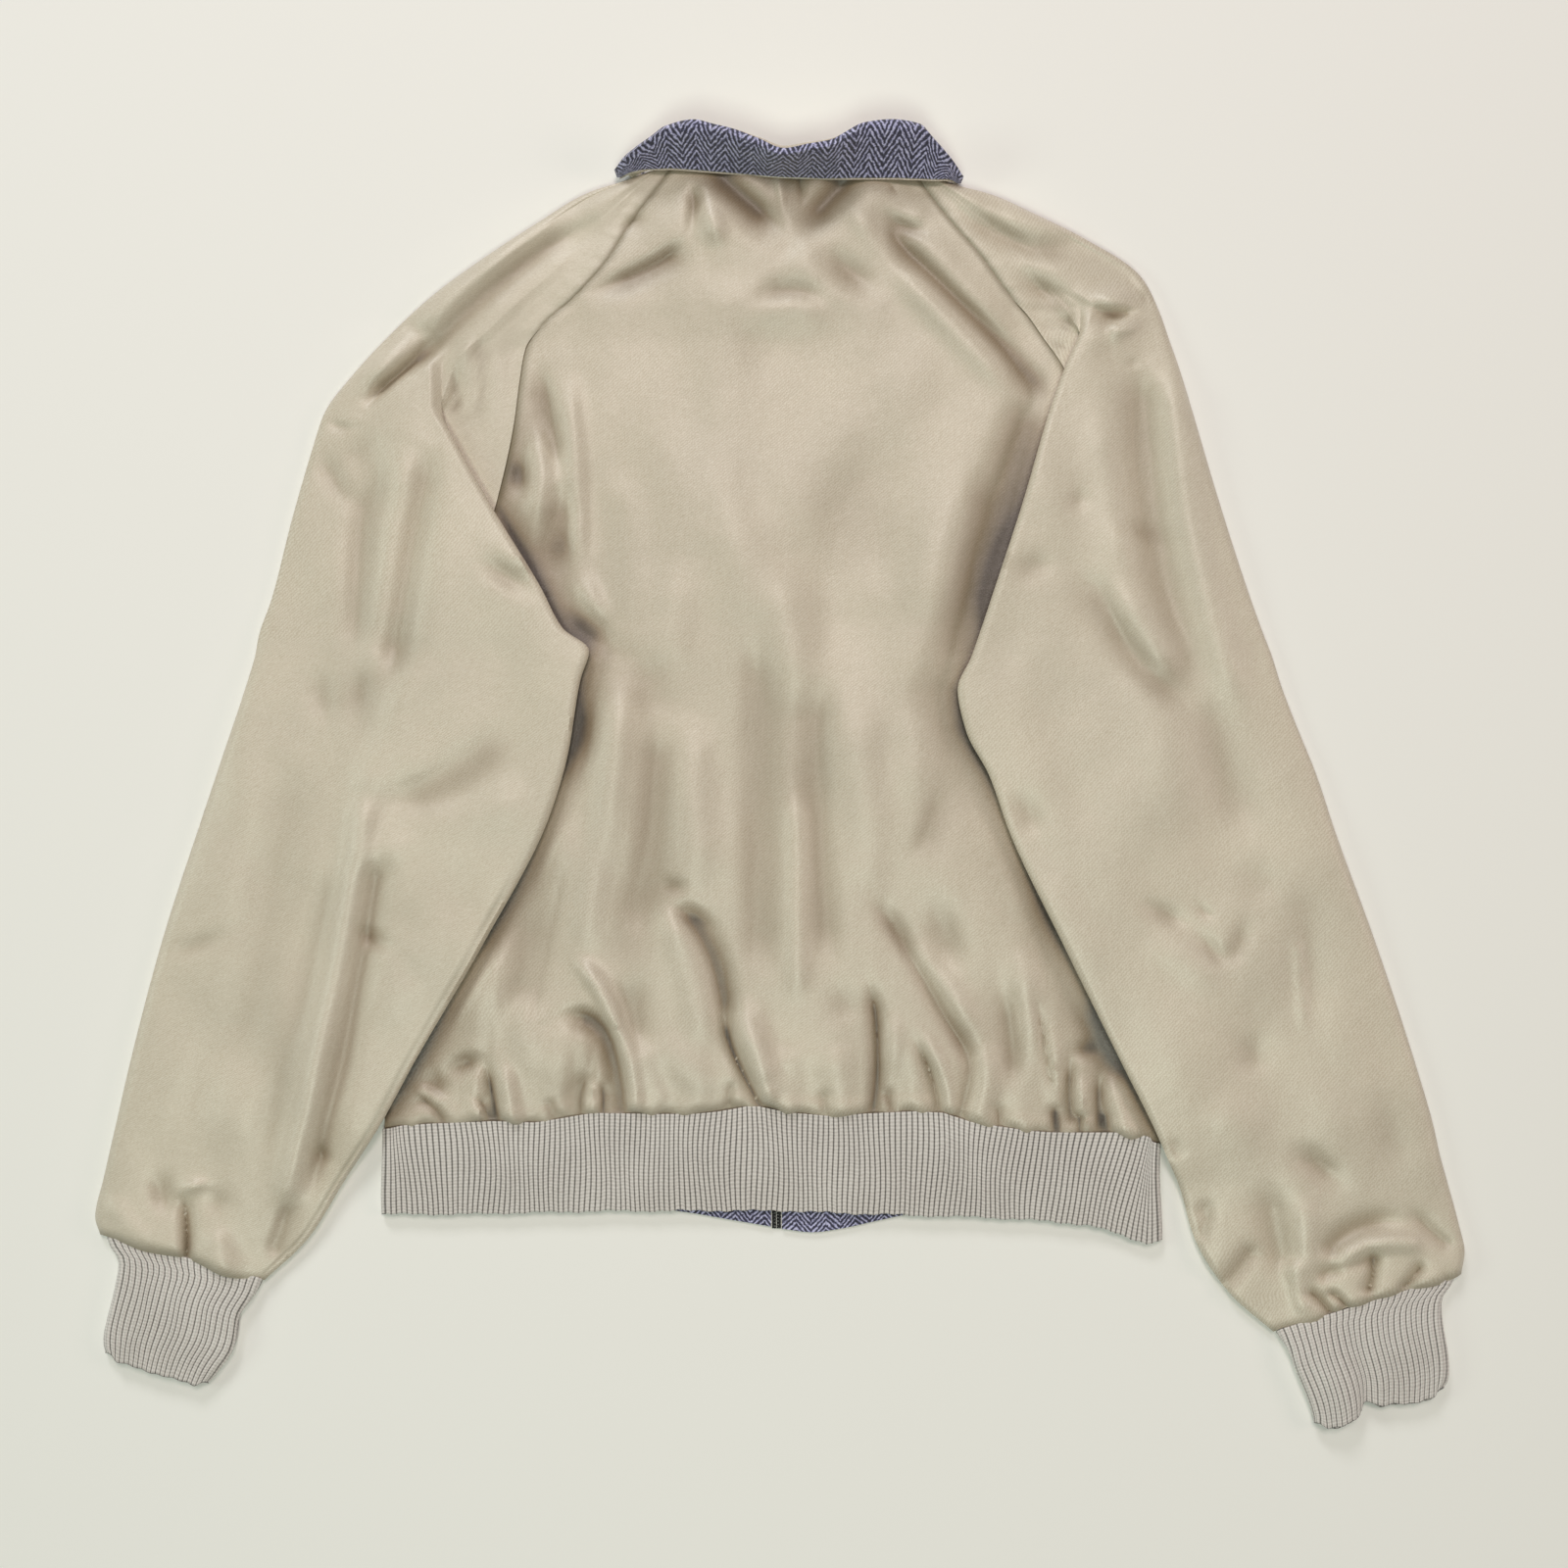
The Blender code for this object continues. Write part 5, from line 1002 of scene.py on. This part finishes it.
def band_surface(hem_row):
    """The rib band round the hem, from tab to tab, with every rib."""
    low, high = RIB_KNIT / 2, BACK_LAYER + BAND_RISE
    radius = (high - low) / 2
    left, right = side_x(BAND_MIDDLE, LEFT), side_x(BAND_MIDDLE, RIGHT)
    path = [(TAB_ENDS[0], low)]
    path += [(left + radius * (1 - sin(a)), low + radius * (1 - cos(a))) for a in HALF_TURN]
    path += [(right - radius * (1 - sin(a)), low + radius * (1 + cos(a))) for a in HALF_TURN]
    places, spots, ribs, tone = with_ribs([*path, (TAB_ENDS[1], low)], None)
    xs, zs = spots.T
    share = smooth((zs - low) / (0.3 * (high - low)))
    top = between(front_hem(xs), along(hem_row[:, :2].tolist(), xs) - SEAM, share)
    foot = between(along(FRONT_FOOT, xs), along(BAND_FOOT, xs), share)
    sway = 1.1 * np.sin(xs / 37.0) + 0.8 * np.sin(xs / 15.0 + 2.0)
    # The ribs lean outwards towards the band's ends.
    from_left, from_right = xs - left, right - xs
    fanned = 5 * smooth((190 - from_right) / 100) + 10 * smooth((95 - from_right) / 70)
    fanned = fanned * smooth(from_right / 24) - 6 * smooth((80 - from_left) / 75) * smooth(from_left / 20)
    rows, lifts = [], []
    for k in range(BAND_ROWS):
        up = k / (BAND_ROWS - 1)
        x = xs + share * (sway * sin(pi * up) + 0.6 * np.sin(xs / 9.0 + 5 * up) + fanned * up)
        ragged = 0.35 * np.sin(places * 2 * pi / 11.3) + 0.45 * np.sin(places * 2 * pi / 43.0)
        wave = 0.5 * np.sin(xs / 23.0 + 4 * up) + 0.4 * np.sin(xs / 11.0 - 3 * up)
        puff = 0.9 * sin(pi * min(1.0, up * 1.05)) ** 0.6 if up > 0 else 0.0
        z = zs + share * (puff + wave * sin(pi * up) * 0.6)
        rows.append(np.stack([x, between(foot, top, up) + share * (1 - up) * ragged, z], axis=-1))
        lifts.append(ribs * rib_depth(min(k, BAND_ROWS - 1 - k)))
    grid = np.array(rows)
    grid[0, :, 1] += 0.5 * ribs - 0.5
    return grid, np.array(lifts), tone


def cuff_surface(end_row, cuff, side):
    """A rib cuff: a flat ring from the sleeve's end to its free edge, with every rib."""
    low = RIB_KNIT / 2
    inner_start, outer_start = np.array(end_row.edge, float), np.array(end_row.outer, float)
    across = unit(outer_start - inner_start)
    down = np.array((across[1], -across[0])) * side
    inner_start, outer_start = inner_start + across * CUFF_INSETS[0], outer_start - across * CUFF_INSETS[1]
    count = 2 * int(round(np.linalg.norm(np.subtract(cuff.outer, cuff.inner)) * CUFF_STRETCH / RIB_PITCH))
    rows, lifts = [], []
    for share in (*np.linspace(0, 0.97, CUFF_FINE_ROWS), 0.985, 1.0):
        inner = between(inner_start + down * SEAM, cuff.inner, share)
        outer = between(outer_start + down * SEAM, cuff.outer, share)
        way = unit(outer - inner)
        # The knit draws in below its seam, and flares out again towards its free edge.
        outer = outer - way * WAIST * smooth(share / 0.17) * (1 - smooth((share - 0.2) / 0.65))
        if side == LEFT:
            inner = inner - way * 3 * (bell(share, 0.65, 0.15) - bell(share, 0.33, 0.13))
        else:
            inner = inner - way * (7 * share**4 - 1.6 * bell(share, 0.2, 0.15))
        heights = between([CUFF_SEAM_Z] * 3, cuff.heights, smooth(share * 2 + 0.2))
        start_radius, end_radius = (heights[0] - low) / 2, (heights[2] - low) / 2
        first, last = inner + way * start_radius, outer - way * end_radius
        path = [(*(first - way * start_radius * sin(a)), low + start_radius * (1 - cos(a))) for a in HALF_TURN[:-1]]
        path += [(*between(first, last, s), np.interp(s, [0, 0.5, 1], heights)) for s in np.linspace(0, 1, 13)]
        path += [(*(last + way * end_radius * sin(a)), low + end_radius * (1 + cos(a))) for a in HALF_TURN[1:]]
        path += [(*between(last, first, s), low) for s in (0.25, 0.5, 0.75, 1.0)]
        places, spots, ribs, tone = with_ribs(path, count)
        row, waves = spots[:-1], places[:-1] * 2 * pi
        upper = smooth((row[:, 2] - low) / 3)
        row[:, 2] += upper * 0.7 * sin(pi * share)
        row[:, :2] += (upper * 0.5 * np.sin(waves / 19.0 + 3 * share) * sin(pi * share))[:, None] * way
        row[:, :2] += down * (share * (0.35 * np.sin(waves / 9.7) + 0.4 * np.sin(waves / 31.0)))[:, None]
        # Rounded corners, and on the right cuff a fold that draws the free edge up.
        reach, way_in = np.linalg.norm(outer - inner), (row[:, :2] - inner) @ way
        t = way_in / reach
        drop = -4.5 * smooth((share - 0.85) / 0.15) * (1 - smooth(np.minimum(way_in, reach - way_in) / 7))
        if side == RIGHT:
            pulled = 2.6 * bell(t, 0.18, 0.12) - 9 * bell(t, 0.41, 0.08) - 2.5 * bell(t, 0.58, 0.1)
            drop += smooth((share - 0.45) / 0.55) * pulled
            row[:, 2] += upper * smooth(share / 0.7) * (4.2 * bell(t, 0.22, 0.12) - 1.6 * bell(t, 0.41, 0.08))
        row[:, :2] += down * drop[:, None]
        rows.append(row)
        lifts.append(ribs[:-1] * rib_depth(min(share, 1 - share) * (CUFF_FINE_ROWS - 1)))
    tone = np.tile(tone[:-1], (len(rows), 1))
    # Painted shade: the last row at the free edge is made dark, as the shadow inside the cuff's opening.
    tone[-1] *= 0.15
    return np.array(rows)[:, ::side], np.array(lifts)[:, ::side], tone[:, ::side]


# --- Finishes ---
def colour(code, light=1.0):
    """An sRGB hex colour turned to linear light, made paler or darker by a factor."""
    parts = [int(code[k : k + 2], 16) / 255 for k in (0, 2, 4)]
    linear = [v / 12.92 if v <= 0.04045 else ((v + 0.055) / 1.055) ** 2.4 for v in parts]
    return (*[min(1.0, v * light) for v in linear], 1.0)


def fill(made, *values, **settings):
    """Sets a node's first inputs by turns, and others and its properties by name: each a constant or an output."""
    for key, value in [*enumerate(values), *settings.items()]:
        if isinstance(key, str) and hasattr(made, key):
            setattr(made, key, value)
            continue
        socket = made.inputs[key if isinstance(key, int) else key.replace("_", " ")]
        if isinstance(value, bpy.types.NodeSocket):
            made.id_data.links.new(value, socket)
        else:
            socket.default_value = value


def finish_named(name, roughness, sheen=0.0, sheen_roughness=0.5, specular=0.5):
    """A new material, its shader, and a function that adds a node and returns its output."""
    material = bpy.data.materials.new(name)
    material.use_nodes = True
    nodes = material.node_tree.nodes
    shader = nodes["Principled BSDF"]
    fill(shader, Roughness=roughness, Sheen_Weight=sheen, Sheen_Roughness=sheen_roughness)
    fill(shader, Specular_IOR_Level=specular)

    def add(kind, *values, stops=(), out=None, **settings):
        """Stops are a ramp's places and colours: the first, the last and those between."""
        made = nodes.new("ShaderNode" + kind)
        fill(made, *values, **settings)
        for k, (position, *code) in enumerate(stops):
            stop = made.color_ramp.elements[k] if k < 2 else made.color_ramp.elements.new(position)
            stop.position, stop.color = position, colour(*code)
        return made.outputs[out] if out else made.outputs.get("Fac") or made.outputs[0]

    return material, shader, add


def bands(pitch):
    """A wave texture's scale for bands this many metres apart."""
    return 2 * pi / 20 / pitch


def tan_twill(name, code):
    """Mercerised cotton twill, beetled to a soft satin: pale broad highlights over a fine diagonal rib."""
    material, shader, add = finish_named(name, 0.43, 0.1, 0.4, 0.9)
    cut, solid = add("UVMap", uv_map="cloth"), add("TexCoord", out="Object")
    slanted = add("Mapping", cut, Rotation=(0, 0, radians(-52)))
    # The diagonal ribs are 0.5 mm apart, and drawn 1.5 mm apart and broken up so that they show as a grain.
    broken_up = {"Distortion": 8.0, "Detail": 3.0, "Detail_Scale": 2.8, "Detail_Roughness": 0.75}
    rib = add("TexWave", slanted, Scale=bands(0.0015), **broken_up)
    # Slubs: single threads a little thicker than the rest, 12 to 40 mm long.
    slub = add("TexNoise", add("Mapping", cut, Scale=(900, 50, 1)), Scale=1.0, Detail=2.0)
    cloud = add("TexNoise", solid, Scale=11.0, Detail=4.0, Roughness=0.55)
    tone = add("ValToRGB", cloud, stops=((0.3, code, 0.93), (0.72, code, 1.04)))
    tone = add("MixRGB", rib, tone, colour("E8E3DC"), blend_type="MULTIPLY")
    tone = add("MixRGB", 0.17, tone, slub, blend_type="SOFT_LIGHT")
    # Painted shading from the fold mark: painted shade, darker and pinker, in the creases' hollows, beside the
    # sleeves and under the collar's edge, and a slight painted highlight on the ridges.
    height = add("MapRange", add("Attribute", attribute_name="fold"), From_Min=-1.0, From_Max=1.0)
    wear_and_painted_shade = add("ValToRGB", height, stops=((0.0, "52473F"), (1.0, "FFFFFF"), (0.5, "F4F2EF"), (0.22, "B0A496")))
    tone = add("MixRGB", 1.0, tone, wear_and_painted_shade, blend_type="MULTIPLY")
    sewn = add("Math", add("Attribute", attribute_name="sewn"), 0.6, operation="MULTIPLY")
    tone = add("MixRGB", sewn, tone, colour("7F755F"), blend_type="MIX")
    crumple = add("TexNoise", solid, Scale=62.0, Detail=3.0, Roughness=0.5)
    wide = add("Bump", Height=crumple, Strength=0.55, Distance=0.0012)
    fine = add("Bump", Height=rib, Normal=wide, Strength=0.3, Distance=0.00015)
    fill(shader, Base_Color=tone, Normal=fine, Sheen_Tint=colour("FFF6E6"))
    return material


def rib_knit():
    """Ribbed wool and nylon knit: pale rounded ribs, painted shade in their dark narrow valleys, a small V at each
    stitch, some fuzz.
    """
    material, shader, add = finish_named("Ribbed wool knit", 0.88, 0.3, 0.6, 0.25)
    cut, solid = add("UVMap", uv_map="cloth"), add("TexCoord", out="Object")
    # A stitch is 1.4 mm tall, and drawn 2.0 mm tall so that it shows.
    up = add("Mapping", cut, Rotation=(0, 0, radians(90)))
    stitch = add("TexWave", up, Scale=bands(0.0020), Distortion=2.5, Detail=1.0)
    fuzz = add("TexNoise", solid, Scale=700.0, Detail=3.0)
    cloud = add("TexNoise", solid, Scale=30.0, Detail=2.0)
    stops = (0.1, "5C5855"), (1.0, "C9C4C1"), (0.45, "BAB5B2"), (0.85, "DDD7D4")
    tone = add("ValToRGB", add("Attribute", attribute_name="rib"), stops=stops)
    for share, pattern in ((0.25, stitch), (0.5, fuzz), (0.3, cloud)):
        tone = add("MixRGB", share, tone, pattern, blend_type="SOFT_LIGHT")
    loops = add("Bump", Height=stitch, Strength=0.5, Distance=0.0003)
    fill(shader, Base_Color=tone, Normal=add("Bump", Height=fuzz, Normal=loops, Strength=0.5, Distance=0.0003))
    return material


def herringbone():
    """Woollen herringbone tweed: pale thick threads in chevrons on a dark blue-grey ground, with loose hairs."""
    material, shader, add = finish_named("Woollen herringbone tweed", 0.95, 0.3, 0.7, 0.15)
    cut, solid = add("UVMap", uv_map="cloth"), add("TexCoord", out="Object")
    across, down = add("SeparateXYZ", cut, out="X"), add("SeparateXYZ", cut, out="Y")
    # Columns are 9 mm wide, and the threads in them 3.1 mm apart.
    column = add("Math", across, 0.009, operation="PINGPONG")
    turns = add("Math", add("Math", column, down, operation="ADD"), 2 * pi / 0.0031, operation="MULTIPLY")
    shaken = add("TexNoise", solid, Scale=330.0, Detail=3.0, Roughness=0.65)
    wave = add("Math", add("Math", shaken, 6.0, turns, operation="MULTIPLY_ADD"), operation="SINE")
    # A thread passes under the others every 2 mm or so, which breaks it into short pale dashes.
    broken = add("TexNoise", solid, Scale=620.0, Detail=2.0, Roughness=0.6)
    dashed = add("Math", broken, 3.4, wave, operation="MULTIPLY_ADD")
    level = add("MapRange", dashed, From_Min=0.5, From_Max=3.1)
    tone = add("ValToRGB", level, stops=((0.2, "2A2A3E"), (0.9, "C6C6EA"), (0.5, "5E5F82")))
    hair = add("TexNoise", solid, Scale=1100.0, Detail=3.0)
    tone = add("MixRGB", 0.7, tone, hair, blend_type="OVERLAY")
    weave = add("Bump", Height=level, Strength=0.5, Distance=0.0005)
    fill(shader, Base_Color=tone, Normal=add("Bump", Height=hair, Normal=weave, Strength=0.6, Distance=0.0004))
    return material


def zip_tape():
    """Black woven polyester tape: a matt close weave."""
    material, shader, add = finish_named("Woven polyester tape", 0.7, 0.1, 0.5, 0.4)
    rib = add("TexWave", add("TexCoord", out="Object"), Scale=bands(0.0012), bands_direction="Y")
    tone = add("ValToRGB", rib, stops=((0.2, "121214"), (0.9, "242428")))
    fill(shader, Base_Color=tone, Normal=add("Bump", Height=rib, Strength=0.5, Distance=0.0002))
    return material


def zip_nylon():
    """Black moulded nylon of the zip's teeth and slider: smooth, with a small soft highlight."""
    material, shader, add = finish_named("Moulded black nylon", 0.38, 0.0, 0.5, 0.5)
    wear_and_painted_shade = add("TexNoise", add("TexCoord", out="Object"), Scale=160.0, Detail=3.0)
    fill(shader, Base_Color=add("ValToRGB", wear_and_painted_shade, stops=((0.35, "161618"), (0.75, "2C2C30"))))
    return material


# --- Pieces ---
def leaf_map(grid):
    """Lengths across and down a narrow leaf, both from its first corner."""
    across, down = distance_along(grid, 1).mean(axis=0), distance_along(grid, 0).mean(axis=1)
    return np.stack(np.broadcast_arrays(across[None, :], down[:, None]), axis=-1)


def zip_half(name, node, side, tape, nylon):
    """One half of the zip: a woven tape with a row of small teeth along its inner edge."""
    xs = [ZIP_X + side * step for step in (ZIP_HALF_WIDTH, 1.9, 1.2, SEAM / 2)]
    grid = np.array([[(x, y, TAPE_Z) for x in xs] for y in np.arange(ZIP_FOOT, ZIP_TOP + 1, 4.0)])
    piece = cloth(name, node, grid[:, ::-side], TAPE, tape)
    x, y = ZIP_X + side * (SEAM / 2 + 0.75), ZIP_FOOT + 1.5 + (side + 1) * TOOTH_PITCH / 4
    first, second = placed(np.array([(x, y, TOOTH_Z), (x, y + TOOTH_PITCH, TOOTH_Z)]))
    bpy.ops.object.select_all(action="DESELECT")
    bpy.ops.mesh.primitive_cube_add(size=MM, location=first)
    teeth = bpy.context.object
    teeth.name = name + "_teeth"
    teeth.scale = TOOTH_SIZE
    bpy.ops.object.transform_apply(location=True, rotation=False, scale=True)
    bpy.ops.object.mode_set(mode="EDIT")
    bpy.ops.mesh.select_all(action="SELECT")
    bpy.ops.mesh.bevel(offset=0.16 * MM, segments=1)
    bpy.ops.object.mode_set(mode="OBJECT")
    row = teeth.modifiers.new("row", "ARRAY")
    row.count = int((ZIP_TOP - 1 - y) / TOOTH_PITCH)
    row.use_relative_offset, row.use_constant_offset = False, True
    row.constant_offset_displace = second - first
    bpy.ops.object.modifier_apply(modifier="row")
    teeth.data.materials.append(nylon)
    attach(teeth, "root")
    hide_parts(node)


def declare(piece, grid, ring=False):
    """Works out the width and length of the flat sheet that the grid was cut from, and its cells, but keeps none of
    them; the piece is not used.
    """
    points = grid[..., :3]
    width, length = (round(float(distance_along(grid, axis).max(axis=1 - axis)[-1]) * MM, 3) for axis in (1, 0))
    cells = np.cross(np.diff(points, axis=1)[:-1], np.diff(points, axis=0)[:, :-1])
    if ring:
        width += float(np.linalg.norm(points[:, -1] - points[:, 0], axis=1).max()) * MM


def with_rolled_edge(grid):
    """The under collar with its free edge rolled up beside the top collar's, as a narrow bead."""
    fall, along_edge = grid[-1] - grid[-2], np.gradient(grid[-1], axis=0)
    fall /= np.linalg.norm(fall, axis=1, keepdims=True)
    up = np.cross(fall, along_edge)
    up /= np.linalg.norm(up, axis=1, keepdims=True) * np.sign(up[:, 2:])
    steps = ((COLLAR_EDGE, 0.0), (COLLAR_EDGE + 0.45, 0.5), (COLLAR_EDGE + 0.5, 1.2), (COLLAR_EDGE, 1.8))
    return np.concatenate([grid, [grid[-1] + fall * out + up * high for out, high in steps]])


def main_pieces():
    twill = tan_twill("Cotton sateen twill, body", "E2DACC")
    sleeve_twill = tan_twill("Cotton sateen twill, sleeves", "E6DFD1")
    knit, tweed, black, nylon = rib_knit(), herringbone(), zip_tape(), zip_nylon()
    back, marks = back_surface()
    piece = cloth("back", "back_panel", back, CLOTH, twill, marks=marks)
    declare(piece, back)
    for name, side, creases in (("left", LEFT, LEFT_CREASES), ("right", RIGHT, RIGHT_CREASES)):
        grid, marks, ring_from = sleeve_surface(side, creases)
        piece = cloth(f"raglan_{name}", f"sleeve_{name}", grid, CLOTH, sleeve_twill, ring_from, marks=marks)
        declare(piece, grid, ring=True)
        front = finer_both(front_grid(SLEEVES[side][0], side), HIDDEN_STEP)
        piece = cloth(f"front_part_{name}", f"front_{name}", front, CLOTH, twill)
        declare(piece, front)
    band, lift, tone = band_surface(back_grid()[-1])
    piece = cloth("rib_band", "hem_rib", band, RIB_KNIT, knit, relief=lift, marks={"rib": tone})
    declare(piece, band)
    for name, side, cuff in (("left", LEFT, LEFT_CUFF), ("right", RIGHT, RIGHT_CUFF)):
        ring, lift, tone = cuff_surface(SLEEVES[side][1][-1], cuff, side)
        piece = cloth(f"rib_cuff_{name}", f"cuff_{name}", ring, RIB_KNIT, knit, 0, lift, marks={"rib": tone})
        declare(piece, ring, ring=True)

    on_leaf = LEAF + LEAF_GAP
    under = collar_grid()
    top = finer_both(under[STAND_ROWS:], 1.6, 2.4)
    piece = cloth("collar_fall", "collar_top", top, LEAF, tweed, out=on_leaf, cut=leaf_map(top))
    declare(piece, top)
    under = finer_both(with_rolled_edge(under), 3.0)
    piece = cloth("collar_stand", "collar_under", under, LEAF, twill, cut=leaf_map(under))
    declare(piece, under)
    for name, start, end in (
        ("left", TAB_ENDS[0] + SEAM, ZIP_X - FRONT_EDGE),
        ("right", ZIP_X + FRONT_EDGE, TAB_ENDS[1] - SEAM),
    ):
        tab = finer_both(tab_grid(start, end), 3.0)
        declare(cloth(f"hem_tab_{name}", f"tab_{name}", tab, LEAF, twill), tab)
        facing = cloth(f"hem_facing_{name}", f"tab_facing_{name}", tab, LEAF, tweed, out=on_leaf, cut=leaf_map(tab))
        declare(facing, tab)
    for name, side in (("left", LEFT), ("right", RIGHT)):
        zip_half(f"zip_tape_{name}", f"zip_{name}", side, black, nylon)
    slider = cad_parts["zip_slider"]
    slider.data.materials.clear()
    slider.data.materials.append(nylon)


def studio():
    """A plain pale floor, soft light and the camera straight above."""
    bpy.ops.object.select_all(action="DESELECT")
    bpy.ops.mesh.primitive_plane_add(size=FLOOR_SIZE, location=(0, 0, -0.0002))
    floor = bpy.context.object
    floor.name = "floor"
    paper, shader, _ = finish_named("Matt paper", 0.9)
    fill(shader, Base_Color=colour("F4F3F1"))
    floor.data.materials.append(paper)
    for name, place, aim, width, height, power, tint in LIGHTS:
        data = bpy.data.lights.new(name, "AREA")
        data.shape, data.size, data.size_y, data.energy = "RECTANGLE", width, height, power
        data.color = colour(tint)[:3]
        lamp = bpy.data.objects.new(name, data)
        lamp.location = place
        lamp.rotation_euler = (Vector(aim) - Vector(place)).to_track_quat("-Z", "Y").to_euler()
        bpy.context.collection.objects.link(lamp)
    world = bpy.data.worlds.new("soft room")
    world.use_nodes = True
    fill(world.node_tree.nodes["Background"], Color=colour("FFFFFF"), Strength=WORLD_LIGHT)
    bpy.context.scene.world = world
    camera_data = bpy.data.cameras.new("camera")
    camera_data.sensor_width = 36.0
    camera_data.lens = 36.0 * (EYE[2] - TABLE_HEIGHT) / PHOTO_WIDTH
    camera = bpy.data.objects.new("camera", camera_data)
    camera.location = np.add(EYE, SHIFT) * MM
    bpy.context.collection.objects.link(camera)
    bpy.context.scene.camera = camera
    bpy.context.scene.view_settings.view_transform = "Standard"


studio()
main_pieces()
